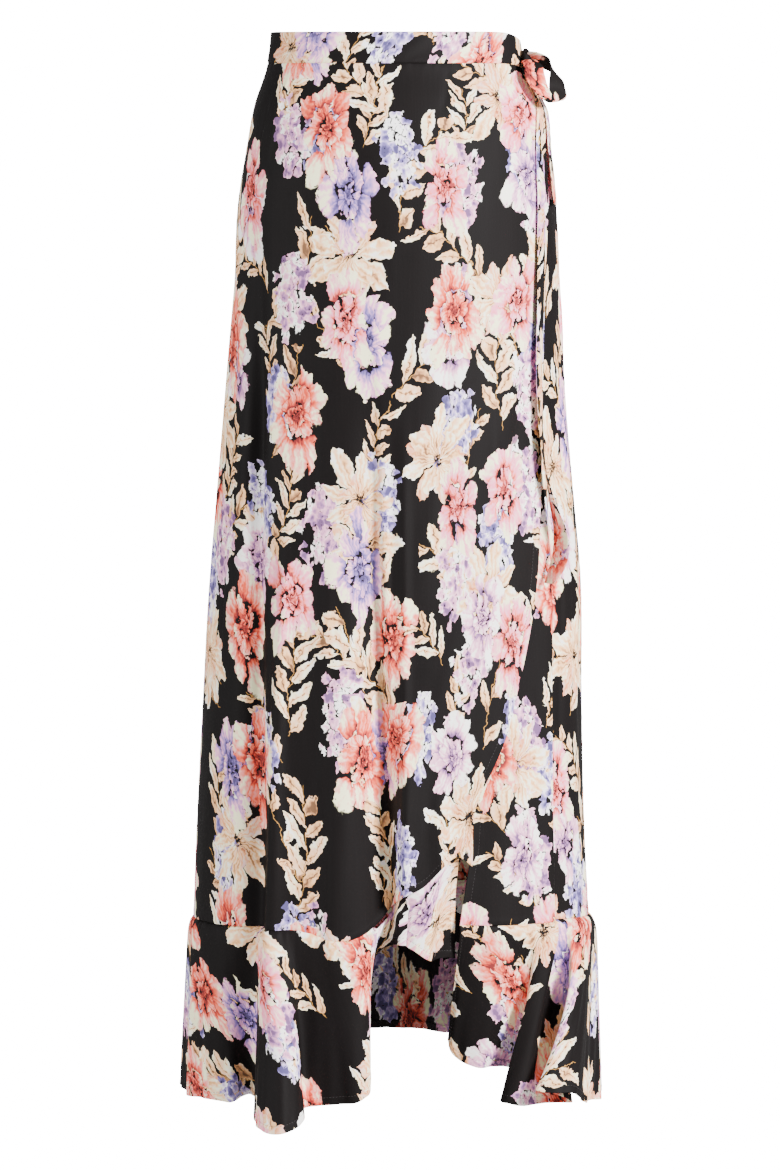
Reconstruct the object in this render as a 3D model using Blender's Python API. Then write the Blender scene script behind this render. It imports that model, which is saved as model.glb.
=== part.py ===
"""Wrap skirt with a flounce, tied at the left hip: the cloth pieces as closed walls.

The skirt is worn, with no wearer in it. The origin is the middle of the waist, at half the
height of the band. X runs to the wearer's left, Y to the back, Z up. An azimuth is an angle
round the body, in degrees: 0 at the middle of the front, 90 at the wearer's left hip, 180 at
the back, -90 (or 270) at the right hip. A drop is a depth below the waist. Tables are in
millimetres and degrees, and every point is turned into metres on its way into a mesh.
"""
import math
from collections import namedtuple

import bpy
import numpy as np

MM = 0.001

# ---------------------------------------------------------------- driving sizes (mm, degrees)
CLOTH = 1.5                 # wall of a panel or flounce
BAND_WALL = 2.2             # the waistband is folded double
BAND_TOP = -15.0            # drops of the band's two edges
BAND_FOOT = 14.7
BAND_PROUD = 0.3            # and stands this far out of the panels
SEAM_GAP = 0.3              # between pieces that are sewn together
LAYER_STEP = 5.0            # overlay over underlap, measured across the body
LEFT_SEAM = 90.0            # azimuths of the side seams
RIGHT_SEAM = 270.0
FRONT_DIP = 9.0             # the waist sits lower at the front
HIP_DIP = 13.0              # and is pulled down by the tie
HIP_DIP_AZIMUTH = 86.0
HIP_DIP_SPREAD = 18.0
DIP_FADE = 45.0             # drop over which the dips die out
PUFF_FRONT = 3.5            # a flounce stands out just under its seam,
PUFF_LEFT_HIP = 8.0         # more at the sides
PUFF_RIGHT_HIP = 5.0
PUFF_HEIGHT = 0.035         # as a share of the flounce
PANEL_ROWS = 17
FLOUNCE_LEVELS = (0.0, 0.035, 0.12, 0.28, 0.46, 0.64, 0.82, 1.0)
FIRST, LAST = 0, -1         # the two end columns of a wall, where side seams may be
INSIDE = {FIRST: 1, LAST: -2}

# Half widths and half depths of the body of the skirt at each drop.
Level = namedtuple("Level", "drop right_hip left_hip front back")
FIGURE = (
    Level(-15, 119, 121.5, 88, 94),
    Level(16, 122.5, 128, 93, 99),
    Level(55, 135, 146, 104, 118),
    Level(98, 143, 151, 113, 136),
    Level(147, 151, 156, 118, 146),
    Level(235, 155.5, 161, 122, 148),
    Level(330, 163, 166, 127, 146),
    Level(430, 172, 174.5, 132, 147),
    Level(510, 179.5, 181.5, 136, 149),
    Level(635, 187, 183, 143, 153),
    Level(750, 193.5, 186, 149, 157),
    Level(850, 198, 191.5, 153, 160),
    Level(1020, 205, 198, 158, 164),
)

# Long soft folds of the panels: troughs are negative, ridges positive. A fold runs from
# `start` (where it has no depth) to `full`, and drifts from azimuth `top` to azimuth `low`.
Fold = namedtuple("Fold", "top low start full reach before after")
FOLDS = (
    Fold(-58, -42, 130, 420, -11, 4.5, 4.0),
    Fold(-38, -35, 330, 800, 12, 3.6, 4.5),
    Fold(-17, -17, 560, 820, 5, 3.0, 6.0),
    Fold(-10, -1.5, 200, 720, -21, 7.0, 1.7),
    Fold(3, 2.2, 580, 780, 9, 1.5, 6.5),
    Fold(13, 12, 640, 780, 5, 3.0, 2.4),
    Fold(55.5, 51, 300, 640, 5, 6.0, 1.6),
    Fold(59.5, 55, 300, 640, -6, 1.8, 8.0),
    Fold(108, 106, 180, 780, -8, 5.0, 5.0),
    Fold(124, 126, 220, 800, 9, 7.0, 6.0),
    Fold(141, 139, 260, 760, -12, 6.0, 6.0),
    Fold(157, 158, 200, 800, 8, 7.0, 7.0),
    Fold(172, 171, 240, 800, -10, 6.0, 7.0),
    Fold(186, 188, 280, 820, 9, 7.0, 6.0),
    Fold(203, 201, 220, 780, -12, 7.0, 6.0),
    Fold(219, 221, 260, 800, 10, 7.0, 7.0),
    Fold(236, 234, 220, 760, -9, 6.0, 6.0),
    Fold(251, 252, 280, 820, 7, 6.0, 6.0),
)

# The overlay's hemmed wrap edge, which swings back over the front below the knee.
Edge = namedtuple("Edge", "drop azimuth")
OVERLAY_EDGE = (
    Edge(-15, 72), Edge(16, 73), Edge(60, 69.5), Edge(101, 68.5), Edge(236, 60), Edge(342, 55),
    Edge(437, 50), Edge(505, 46.5), Edge(569, 42), Edge(624, 37), Edge(657, 33.5),
    Edge(685, 29), Edge(712, 24.2), Edge(774, 22),
)
# The underlap's edge, under the overlay until it comes out beside the cascade.
UNDERLAP_EDGE = (
    Edge(-15, -58), Edge(16, -58), Edge(120, -47), Edge(220, -28), Edge(300, -10),
    Edge(360, 1), Edge(440, 6), Edge(520, 10), Edge(600, 15), Edge(660, 21),
    Edge(711, 24.2), Edge(765, 23.6), Edge(790, 22), Edge(832, 19.5),
)
# Lower edges: the seam with the flounce, then the hem of the overlay's cascade.
OVERLAY_FOOT = (
    Edge(846, -90), Edge(841, -60), Edge(836, -30), Edge(833, -5), Edge(827, -3),
    Edge(806, 1), Edge(789, 9), Edge(772, 13.6), Edge(765, 17.5), Edge(774, 22),
)
UNDERLAP_FOOT = (Edge(832, 19.5), Edge(834, 35), Edge(837, 60), Edge(845, 90))
BACK_FOOT = (Edge(845, 90), Edge(844, 140), Edge(844, 180), Edge(845, 220), Edge(846, 270))

UNDERLAP_TUCK = 9.0         # the underlap sinks towards its own edge
UNDERLAP_TUCK_SPREAD = 9.0

# Hems of the front flounces. `seam` is the azimuth of the seam above the point, x and y are
# its place in plan, `behind` is how far its top lies behind the overlay, and `bow` is how far
# the cloth stands out halfway down.
Hem = namedtuple("Hem", "seam x y drop behind bow", defaults=(0, 0))
OVERLAY_HEM = (
    Hem(-90, -213, 0, 1014), Hem(-85, -212, -24, 1013), Hem(-80, -203, -45, 1011),
    Hem(-75, -203, -66, 1011), Hem(-69, -189, -85, 1008),
    Hem(-62, -172, -104, 1006.5), Hem(-56, -158, -112, 1006.5), Hem(-51, -147, -103, 1003),
    Hem(-47, -139, -98, 1002), Hem(-43.5, -132, -113, 1006), Hem(-41, -133, -152, 1014),
    Hem(-39, -125, -182, 1017), Hem(-36, -109, -192, 1017), Hem(-33, -94, -187, 1013),
    Hem(-30.5, -86, -171, 1009), Hem(-28.5, -86, -155, 1002), Hem(-25, -75, -151, 1000),
    Hem(-20, -50, -158, 997), Hem(-15, -37, -160, 995), Hem(-11, -29, -157, 991),
    Hem(-8.8, -24.5, -149, 986), Hem(-7.6, -26, -142, 968), Hem(-6.4, -29, -134, 942),
    Hem(-5.4, -31, -127, 912), Hem(-4.4, -30, -121, 885, 0.3), Hem(-3.4, -24, -118, 868, 1.5),
    Hem(-2.4, -13, -121, 857, 3), Hem(-1.2, -3, -131, 852, 4), Hem(0.4, 2, -142, 849, 4),
    Hem(3, 8, -147, 850, 4), Hem(6, 17, -147, 854, 4), Hem(9.5, 31, -142, 863, 4),
    Hem(13, 42, -134, 864, 4), Hem(16, 51, -128, 865, 4), Hem(18.5, 57, -125, 866, 4),
)
CASCADE_START = -4.4        # from here on the flounce lies behind the overlay's hem
CASCADE_LAP = 6.0           # and reaches this far up behind it
UNDERLAP_HEM = (
    Hem(19.5, 49, -97, 950), Hem(21.5, 54.5, -101, 964), Hem(24.5, 64, -105, 970),
    Hem(28, 77, -105, 974), Hem(32, 90, -100, 975), Hem(36, 102, -90, 977),
    Hem(39, 113, -79, 982), Hem(42, 118, -86, 989), Hem(44.5, 111, -104, 996),
    Hem(46.5, 101, -118, 1001), Hem(48, 99, -127, 1002), Hem(50, 106, -134, 1002),
    Hem(52, 117, -135, 1004), Hem(54, 128, -129, 1005, 0, -3),
    Hem(56, 141, -120, 1005, 0, -8), Hem(58, 158, -114, 1006, 0, -12),
    Hem(59.5, 167, -121, 1004, 0, -9), Hem(61, 160, -134, 997, 0, -1),
    Hem(62.5, 142, -146, 987, 0, 8), Hem(64, 131, -153, 984, 0, 13),
    Hem(66, 136, -161, 984, 0, 12), Hem(68.5, 150, -162, 985, 0, 8),
    Hem(71, 165, -154, 987, 0, 3), Hem(75, 180, -124, 1003),
    Hem(77, 182, -105, 1008),
    Hem(79, 186, -87, 1010), Hem(81.5, 199, -64, 1015), Hem(84, 197, -42, 1018),
    Hem(87, 202, -20, 1021), Hem(90, 204, 0, 1022),
)
# The back flounce: how far each wave stands out from the body, from side seam to side seam.
Wave = namedtuple("Wave", "azimuth reach drop")
BACK_WAVES = (
    Wave(97, -5, 1016), Wave(104, 10, 1013), Wave(111, 20, 1012), Wave(117, -6, 1006),
    Wave(123, -3, 1005), Wave(131, 24, 1009), Wave(139, 18, 1008), Wave(146, -12, 1001),
    Wave(152, 0, 1002), Wave(160, 20, 1003), Wave(166, 8, 1000), Wave(172, -11, 991),
    Wave(178, -4, 994), Wave(184, 8, 998), Wave(191, 22, 1002), Wave(198, 24, 1005),
    Wave(205, -8, 1000), Wave(211, -10, 1000), Wave(219, 20, 1008), Wave(227, 24, 1010),
    Wave(234, -6, 1004), Wave(240, 2, 1006), Wave(248, 18, 1012), Wave(256, 10, 1013),
    Wave(263, -3, 1013),
)

# Ties. The knot lies on the overlay's end of the band. A loop is a strap on an oval, seen from
# its end; the tails hang from the knot with one edge `out` from the spiral surface.
KNOT_AZIMUTH = 429.0
KNOT_DROP = 9.5
KNOT_SIZE = (5.0, 8.0, 13.5)    # half sizes outwards, round the body and upwards
LOOP_CENTRE = (137.5, -50.0, -26.0)
LOOP_RADII = (13.0, 21.5)
LOOP_LEAN = 15.0
LOOP_WIDTH_TOP = (7.0, 13.0, 1.0)
LOOP_WIDTH_FOOT = (16.0, 23.0, -7.0)
LOOP_OPENING = (178.0, 182.0)   # where the two ends of the loop go into the knot
LOOP_STATIONS = 27
STRAP_WALL = 2.0
Tail = namedtuple("Tail", "drop azimuth out width turn")
LONG_TAIL = (
    Tail(21, 69.5, 8, 8, 26), Tail(44, 69.5, 7, 12, 22), Tail(72, 69.5, 7, 18, 14),
    Tail(102, 68.6, 7, 20, 10), Tail(150, 65.5, 7, 20, 11), Tail(246, 60.8, 7, 20, 9),
    Tail(342, 56.3, 7, 20, 10), Tail(399, 54.6, 7, 20, 4), Tail(437, 54.4, 7, 21, -14),
    Tail(465, 54.6, 7, 22, -34), Tail(486, 52.6, 7, 22, -42), Tail(503, 50, 7, 20, -38),
    Tail(511, 48.6, 7, 17, -30),
)
SHORT_TAIL = (
    Tail(21, 74.5, 8.5, 8, 20), Tail(45, 78, 6, 12, 17), Tail(75, 80.5, 4, 16, 13),
    Tail(110, 81, 3.5, 18, 12), Tail(152, 81.5, 3.5, 19, 11),
)


# ---------------------------------------------------------------- curves through short tables
def smooth(value):
    value = min(max(value, 0.0), 1.0)
    return value * value * (3.0 - 2.0 * value)


def through(keys, values, at):
    """A smooth curve through the rows of a table, straight on beyond its ends."""
    keys = np.asarray(keys, float)
    values = np.asarray(values, float)
    slopes = np.gradient(values, keys, axis=0)
    i = int(np.clip(np.searchsorted(keys, at) - 1, 0, len(keys) - 2))
    span = keys[i + 1] - keys[i]
    t = (at - keys[i]) / span
    if t < 0.0:
        return values[0] + slopes[0] * (at - keys[0])
    if t > 1.0:
        return values[-1] + slopes[-1] * (at - keys[-1])
    h1 = 2 * t ** 3 - 3 * t ** 2 + 1
    h2 = t ** 3 - 2 * t ** 2 + t
    h3 = -2 * t ** 3 + 3 * t ** 2
    h4 = t ** 3 - t ** 2
    return (h1 * values[i] + h2 * span * slopes[i]
            + h3 * values[i + 1] + h4 * span * slopes[i + 1])


def edge_azimuth(rows, drop):
    return float(through([r.drop for r in rows], [r.azimuth for r in rows], drop))


def foot_drop(rows, azimuth):
    return float(through([r.azimuth for r in rows], [r.drop for r in rows], azimuth))


# ---------------------------------------------------------------- the body of the skirt
def figure(drop):
    return Level(drop, *through([r.drop for r in FIGURE], [r[1:] for r in FIGURE], drop))


def fold_reach(azimuth, drop):
    """How far the folds stand out of the body at one place."""
    total = 0.0
    for fold in FOLDS:
        grown = smooth((drop - fold.start) / (fold.full - fold.start))
        if grown == 0.0:
            continue
        middle = fold.top + (fold.low - fold.top) * min(max((drop - fold.start) / 640.0, 0.0), 1.0)
        away = (azimuth - middle + 180.0) % 360.0 - 180.0
        half = fold.before if away < 0.0 else fold.after
        total += fold.reach * grown * math.exp(-(away / half) ** 2)
    return total


def layer(azimuth):
    """The wrap winds round in a spiral: inside at its start, outside at its end."""
    half = LAYER_STEP / 2.0
    return half * (smooth((azimuth - 232.0) / 60.0) - 1.0 + smooth((azimuth - 62.0) / 66.0))


def dip(azimuth, drop):
    front = math.cos(math.radians(azimuth))
    front = 0.5 * (front + math.hypot(front, 0.2))
    away = (azimuth - HIP_DIP_AZIMUTH + 180.0) % 360.0 - 180.0
    hip = math.exp(-(away / HIP_DIP_SPREAD) ** 2)
    fade = math.exp(-(max(drop - 16.0, 0.0) / DIP_FADE) ** 2)
    return (FRONT_DIP * front + HIP_DIP * hip) * fade


def on_body(azimuth, drop, out=0.0):
    """A point of the skirt, in mm, `out` in front of the spiral surface."""
    size = figure(drop)
    angle = math.radians(azimuth)
    wide = size.left_hip if math.sin(angle) > 0.0 else size.right_hip
    deep = size.front if math.cos(angle) > 0.0 else size.back
    x = wide * math.sin(angle)
    y = -deep * math.cos(angle)
    nx, ny = x / wide ** 2, y / deep ** 2
    length = math.hypot(nx, ny)
    reach = fold_reach(azimuth, drop) + layer(azimuth) + out
    return np.array((x + reach * nx / length, y + reach * ny / length, -drop - dip(azimuth, drop)))


# ---------------------------------------------------------------- meshes
def material(name, colour, roughness):
    made = bpy.data.materials.new(name)
    made.use_nodes = True
    shader = made.node_tree.nodes["Principled BSDF"]
    shader.inputs["Base Color"].default_value = (*colour, 1.0)
    shader.inputs["Roughness"].default_value = roughness
    shader.inputs["Metallic"].default_value = 0.0
    return made


def solid(name, points, faces, finish):
    mesh = bpy.data.meshes.new(name)
    mesh.from_pydata([tuple(float(c) * MM for c in p) for p in points], [], faces)
    mesh.validate()
    mesh.shade_smooth()
    mesh.set_sharp_from_angle(angle=math.radians(50.0))
    mesh.materials.append(finish)
    made = bpy.data.objects.new(name, mesh)
    bpy.context.collection.objects.link(made)
    return made


def plan_normals(row, seams):
    """Outward directions of one level line, in plan: straight sideways at a side seam."""
    along = np.gradient(row[:, :2], axis=0)
    along /= np.linalg.norm(along, axis=1)[:, None]
    out = np.column_stack((along[:, 1], -along[:, 0], np.zeros(len(row))))
    for end in seams:
        out[end] = (math.copysign(1.0, row[end][0]), 0.0, 0.0)
    return out


def wall(name, rows, thickness, finish, seams=()):
    """A closed wall whose outer face runs through the rows, top row first."""
    outer = [np.asarray(row, float) for row in rows]
    inner = [row - plan_normals(row, seams) * thickness for row in outer]
    high, wide = len(outer), len(outer[0])
    points = np.concatenate(outer + inner)
    back = high * wide

    def at(j, i, side=0):
        return side * back + j * wide + i

    faces = []
    for j in range(high - 1):
        for i in range(wide - 1):
            faces.append((at(j, i), at(j + 1, i), at(j + 1, i + 1), at(j, i + 1)))
            faces.append((at(j, i, 1), at(j, i + 1, 1), at(j + 1, i + 1, 1), at(j + 1, i, 1)))
    for i in range(wide - 1):
        faces.append((at(0, i), at(0, i + 1), at(0, i + 1, 1), at(0, i, 1)))
        faces.append((at(high - 1, i), at(high - 1, i, 1), at(high - 1, i + 1, 1), at(high - 1, i + 1)))
    for j in range(high - 1):
        faces.append((at(j, 0), at(j, 0, 1), at(j + 1, 0, 1), at(j + 1, 0)))
        faces.append((at(j, wide - 1), at(j + 1, wide - 1), at(j + 1, wide - 1, 1), at(j, wide - 1, 1)))
    return solid(name, points, faces, finish)


def strap(name, middles, widths, normals, thickness, finish):
    """A flat closed strap along a line of middles, with its width and face given at each."""
    points, faces = [], []
    for middle, width, normal in zip(middles, widths, normals):
        for a, b in ((-0.5, 0.5), (-0.5, -0.5), (0.5, -0.5), (0.5, 0.5)):
            points.append(middle + width * a + normal * (b * thickness))
    count = len(middles)
    for k in range(count - 1):
        for side in range(4):
            a, b = 4 * k + side, 4 * k + (side + 1) % 4
            faces.append((a, b, b + 4, a + 4))
    faces.append((3, 2, 1, 0))
    last = 4 * (count - 1)
    faces.append((last, last + 1, last + 2, last + 3))
    return solid(name, points, faces, finish)


# ---------------------------------------------------------------- the pieces
def spread(start, stop, count):
    return list(np.linspace(start, stop, count, endpoint=False))


def panel_drops(foot, rows=PANEL_ROWS):
    """Drops from the band's seam to the foot, closer together over the hip."""
    top = BAND_FOOT + SEAM_GAP
    return [top + (foot - top) * (t ** 1.25) for t in np.linspace(0.0, 1.0, rows)]


def trimmed(azimuth, drop, side):
    """An azimuth moved off a side seam by half the seam's gap."""
    size = figure(drop)
    return azimuth + side * math.degrees(0.5 * SEAM_GAP / min(size.front, size.back))


def waistband(finish):
    start = edge_azimuth(UNDERLAP_EDGE, 0.0)
    end = edge_azimuth(OVERLAY_EDGE, 0.0) + 360.0
    azimuths = (spread(start, 50, 18) + spread(50, 122, 24) + spread(122, 410, 44)
                + list(np.linspace(410, end, 9)))
    rows = []
    for drop in (BAND_TOP, 0.0, BAND_FOOT):
        rows.append([on_body(a, drop, BAND_PROUD) for a in azimuths])
    return wall("waistband", rows, BAND_WALL, finish)


def overlay_azimuths(drop):
    """Columns of the overlay: fixed on its left, gathered towards the wrap edge on its right."""
    fixed = spread(trimmed(-90.0, drop, 1.0), -62, 6) + spread(-62, -30, 12)
    fixed += spread(-30, -12, 6) + spread(-12, 4, 12)
    return fixed + list(np.linspace(4, edge_azimuth(OVERLAY_EDGE, drop), 15))


def front_overlay(finish):
    reference = overlay_azimuths(OVERLAY_FOOT[-1].drop)
    columns = [panel_drops(foot_drop(OVERLAY_FOOT, a)) for a in reference]
    rows = []
    for j in range(PANEL_ROWS):
        row = []
        for i, column in enumerate(columns):
            drop = column[j]
            row.append(on_body(overlay_azimuths(drop)[i] + 360.0, drop))
        rows.append(row)
    return wall("front_overlay", rows, CLOTH, finish, (FIRST,))


def underlap_azimuths(drop):
    start = edge_azimuth(UNDERLAP_EDGE, drop)
    return spread(start, 50, 17) + spread(50, 62, 6) + list(
        np.linspace(62, trimmed(LEFT_SEAM, drop, -1.0), 8))


def tuck(azimuth, drop):
    away = azimuth - edge_azimuth(UNDERLAP_EDGE, drop)
    return UNDERLAP_TUCK * math.exp(-(away / UNDERLAP_TUCK_SPREAD) ** 2) * smooth((drop - 450) / 220)


def on_underlap(azimuth, drop, out=0.0):
    return on_body(azimuth, drop, out - tuck(azimuth, drop))


def front_underlap(finish):
    reference = underlap_azimuths(UNDERLAP_FOOT[0].drop)
    columns = [panel_drops(foot_drop(UNDERLAP_FOOT, a)) for a in reference]
    rows = []
    for j in range(PANEL_ROWS):
        row = []
        for i, column in enumerate(columns):
            row.append(on_underlap(underlap_azimuths(column[j])[i], column[j]))
        rows.append(row)
    return wall("front_underlap", rows, CLOTH, finish, (LAST,))


def back_azimuths(drop):
    return list(np.linspace(trimmed(LEFT_SEAM, drop, 1.0), trimmed(RIGHT_SEAM, drop, -1.0), 41))


def back_panel(finish):
    columns = [panel_drops(foot_drop(BACK_FOOT, a)) for a in back_azimuths(850)]
    rows = []
    for j in range(PANEL_ROWS):
        row = []
        for i, column in enumerate(columns):
            row.append(on_body(back_azimuths(column[j])[i], column[j]))
        rows.append(row)
    return wall("back_panel", rows, CLOTH, finish, (FIRST, LAST))


def flounce(name, tops, hems, stands, finish, seams):
    """A flounce between the line of its seam and the line of its hem, as levels of one wall.

    `stands` has a puff and a bow for each point: how far the cloth stands out just under the
    seam, and halfway down.
    """
    out = plan_normals(tops, seams)
    rows = []
    for level in FLOUNCE_LEVELS:
        reach = stands @ ((1.0 - math.exp(-level / PUFF_HEIGHT)) * (1.0 - level),
                          math.sin(math.pi * level))
        rows.append(tops + (hems - tops) * level + out * reach[:, None])
    return wall(name, rows, CLOTH, finish, seams)


def pull_in(line, seams):
    """Parts a line from a side seam by half the seam's gap."""
    line = np.asarray(line, float)
    for end in seams:
        forward = math.copysign(0.5 * SEAM_GAP, line[INSIDE[end]][1])
        line[end] = line[end] + (0.0, forward, 0.0)
    return line


def hem_lines(rows, per_row, top_point, seams):
    """Points along a hem table, the seam points above them, and their puff and bow."""
    index = np.arange(len(rows))
    table = np.array([tuple(row) for row in rows], float)
    tops, hems, stands = [], [], []
    for k in np.linspace(0, len(rows) - 1, (len(rows) - 1) * per_row + 1):
        seam, x, y, drop, behind, bow = through(index, table, k)
        tops.append(top_point(seam, behind))
        hems.append((x, y, -drop))
        hip = PUFF_LEFT_HIP if x > 0.0 else PUFF_RIGHT_HIP
        puff = PUFF_FRONT + (hip - PUFF_FRONT) * math.sin(math.radians(seam)) ** 2
        stands.append((puff * (1.0 - smooth(behind)), bow))
    return pull_in(tops, seams), pull_in(hems, seams), np.array(stands)


def overlay_seam(azimuth, behind):
    """The overlay's seam, or where it turns into the cascade, a line behind the overlay."""
    lap = CASCADE_LAP * smooth((azimuth - 5.0) / 3.0)
    below = SEAM_GAP + 2.2 * smooth((azimuth - CASCADE_START) / 2.0)
    return on_body(azimuth + 360.0, foot_drop(OVERLAY_FOOT, azimuth) + below - lap, -max(behind, 0.0))


def underlap_seam(azimuth, behind):
    return on_underlap(azimuth, foot_drop(UNDERLAP_FOOT, azimuth) + SEAM_GAP)


def flounce_overlay(finish):
    seams = (FIRST,)
    return flounce("flounce_overlay", *hem_lines(OVERLAY_HEM, 2, overlay_seam, seams), finish, seams)


def flounce_underlap(finish):
    seams = (LAST,)
    return flounce("flounce_underlap", *hem_lines(UNDERLAP_HEM, 2, underlap_seam, seams), finish, seams)


def back_hem_rows():
    """The back's waves as points in plan, between the hems of the two front flounces."""
    rows = [UNDERLAP_HEM[-1]]
    for wave in BACK_WAVES:
        x, y, _ = on_body(wave.azimuth, wave.drop)
        flat = on_body(wave.azimuth, wave.drop, 1.0) - (x, y, 0.0)
        rows.append(Hem(wave.azimuth, x + flat[0] * wave.reach, y + flat[1] * wave.reach, wave.drop))
    rows.append(OVERLAY_HEM[0]._replace(seam=RIGHT_SEAM))
    return rows


def back_seam(azimuth, behind):
    return on_body(azimuth, foot_drop(BACK_FOOT, azimuth) + SEAM_GAP)


def flounce_back(finish):
    seams = (FIRST, LAST)
    return flounce("flounce_back", *hem_lines(back_hem_rows(), 3, back_seam, seams), finish, seams)


def tie_knot(finish):
    """The knot: a small lump against the band, drawn in at its waist."""
    side = on_body(KNOT_AZIMUTH + 2, KNOT_DROP) - on_body(KNOT_AZIMUTH - 2, KNOT_DROP)
    up = on_body(KNOT_AZIMUTH, KNOT_DROP - 8) - on_body(KNOT_AZIMUTH, KNOT_DROP + 8)
    side /= np.linalg.norm(side)
    up -= side * np.dot(up, side)
    up /= np.linalg.norm(up)
    axes = np.array((np.cross(side, up), side, up)) * np.array(KNOT_SIZE)[:, None]
    centre = on_body(KNOT_AZIMUTH, KNOT_DROP, BAND_PROUD) + axes[0] * (1.0 + SEAM_GAP / KNOT_SIZE[0])
    rings, around = 7, 12
    points, faces = [(0.0, 0.0, 1.0)], []
    for j in range(1, rings):
        polar = math.pi * j / rings
        waist = (1.0 - 0.12 * math.cos(2.0 * polar) ** 2) * math.sin(polar)
        for i in range(around):
            turn = 2.0 * math.pi * i / around
            points.append((waist * math.cos(turn), waist * math.sin(turn), math.cos(polar)))
    points.append((0.0, 0.0, -1.0))
    foot = len(points) - 1
    for i in range(around):
        after = (i + 1) % around
        faces.append((0, 1 + i, 1 + after))
        last = 1 + (rings - 2) * around
        faces.append((foot, last + after, last + i))
        for j in range(rings - 2):
            a, b = 1 + j * around, 1 + (j + 1) * around
            faces.append((a + i, b + i, b + after, a + after))
    return solid("tie_knot", [centre + np.array(p) @ axes for p in points], faces, finish)


def tie_loop(finish):
    """The loop of the half bow: an oval strap, wider at its foot, whose ends meet at the knot."""
    start, end = LOOP_OPENING
    lean = math.radians(LOOP_LEAN)
    across = np.array((math.cos(lean), 0.0, math.sin(-lean))) * LOOP_RADII[0]
    upward = np.array((-math.sin(lean), 0.0, math.cos(lean))) * LOOP_RADII[1]
    middles, widths, normals = [], [], []
    for k in range(LOOP_STATIONS):
        turn = math.radians(start - (360.0 - (end - start)) * k / (LOOP_STATIONS - 1))
        near = across * math.cos(turn) + upward * math.sin(turn)
        along = upward * math.cos(turn) - across * math.sin(turn)
        high = 0.5 * (1.0 + math.sin(turn))
        width = np.array(LOOP_WIDTH_TOP) * high + np.array(LOOP_WIDTH_FOOT) * (1.0 - high)
        face = np.cross(width, along)
        middles.append(np.array(LOOP_CENTRE) + near + 0.5 * width)
        widths.append(width)
        normals.append(face / np.linalg.norm(face))
    return strap("tie_loop", middles, widths, normals, STRAP_WALL, finish)


def tail(name, rows, finish):
    """A tie's end: its inner side hangs just clear of the skirt and its width turns with it."""
    drops = [row.drop for row in rows]
    table = [tuple(row)[1:] for row in rows]
    count = 2 * len(rows) - 1
    middles, widths, normals = [], [], []
    for drop in np.interp(np.linspace(0, 1, count), np.linspace(0, 1, len(rows)), drops):
        azimuth, out, width, turn = through(drops, table, drop)
        near = on_body(azimuth, drop, out)
        turn = math.radians(turn)
        across = np.array((-math.sin(turn), -math.cos(turn), 0.0))
        middles.append(near + across * (0.5 * width))
        widths.append(across * width)
        normals.append(np.array((-math.cos(turn), math.sin(turn), 0.0)))
    return strap(name, middles, widths, normals, STRAP_WALL, finish)


def main():
    for thing in list(bpy.data.objects):
        bpy.data.objects.remove(thing, do_unlink=True)
    print_cloth = material("printed rayon", (0.10, 0.07, 0.08), 0.75)
    band_cloth = material("printed rayon, doubled", (0.16, 0.11, 0.12), 0.7)
    tie_cloth = material("printed rayon, rolled", (0.05, 0.04, 0.045), 0.7)
    waistband(band_cloth)
    front_overlay(print_cloth)
    front_underlap(print_cloth)
    back_panel(print_cloth)
    flounce_overlay(print_cloth)
    flounce_underlap(print_cloth)
    flounce_back(print_cloth)
    tie_knot(tie_cloth)
    tie_loop(tie_cloth)
    tail("tie_tail_long", LONG_TAIL, tie_cloth)
    tail("tie_tail_short", SHORT_TAIL, tie_cloth)


main()
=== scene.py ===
"""Looks of a worn wrap skirt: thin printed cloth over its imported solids, with hems, ties and stitches.

The origin is the middle of the waist. X runs to the wearer's left, Y to the back, Z up. An
azimuth is an angle round the body in degrees: 0 in front, 90 at the left hip, 180 at the back,
-90 or 270 at the right hip. A drop is a depth below the waist. Tables are in millimetres and
degrees, and points become metres on their way into a mesh.
"""
import math
from collections import namedtuple
from functools import partialmethod

import bpy
import numpy as np
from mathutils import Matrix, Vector


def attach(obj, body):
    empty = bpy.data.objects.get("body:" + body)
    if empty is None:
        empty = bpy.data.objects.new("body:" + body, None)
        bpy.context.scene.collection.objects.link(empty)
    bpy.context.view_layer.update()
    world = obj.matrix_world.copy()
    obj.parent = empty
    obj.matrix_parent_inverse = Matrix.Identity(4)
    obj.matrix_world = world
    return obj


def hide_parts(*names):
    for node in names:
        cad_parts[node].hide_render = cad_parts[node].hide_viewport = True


bl_info = {
    "name": "Wrap skirt cloth",
    "version": (1, 0, 0),
    "blender": (4, 5, 0),
    "location": "View3D > Sidebar > Skirt",
    "description": "Dresses the packed solids of a wrap skirt in printed cloth",
    "category": "Object",
}

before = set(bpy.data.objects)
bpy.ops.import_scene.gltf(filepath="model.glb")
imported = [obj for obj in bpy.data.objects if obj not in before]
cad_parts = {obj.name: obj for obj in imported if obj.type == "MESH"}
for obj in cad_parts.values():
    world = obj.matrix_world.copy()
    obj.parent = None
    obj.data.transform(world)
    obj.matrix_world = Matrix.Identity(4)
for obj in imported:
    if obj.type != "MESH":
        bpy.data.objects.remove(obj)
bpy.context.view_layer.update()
MM = 0.001

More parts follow.
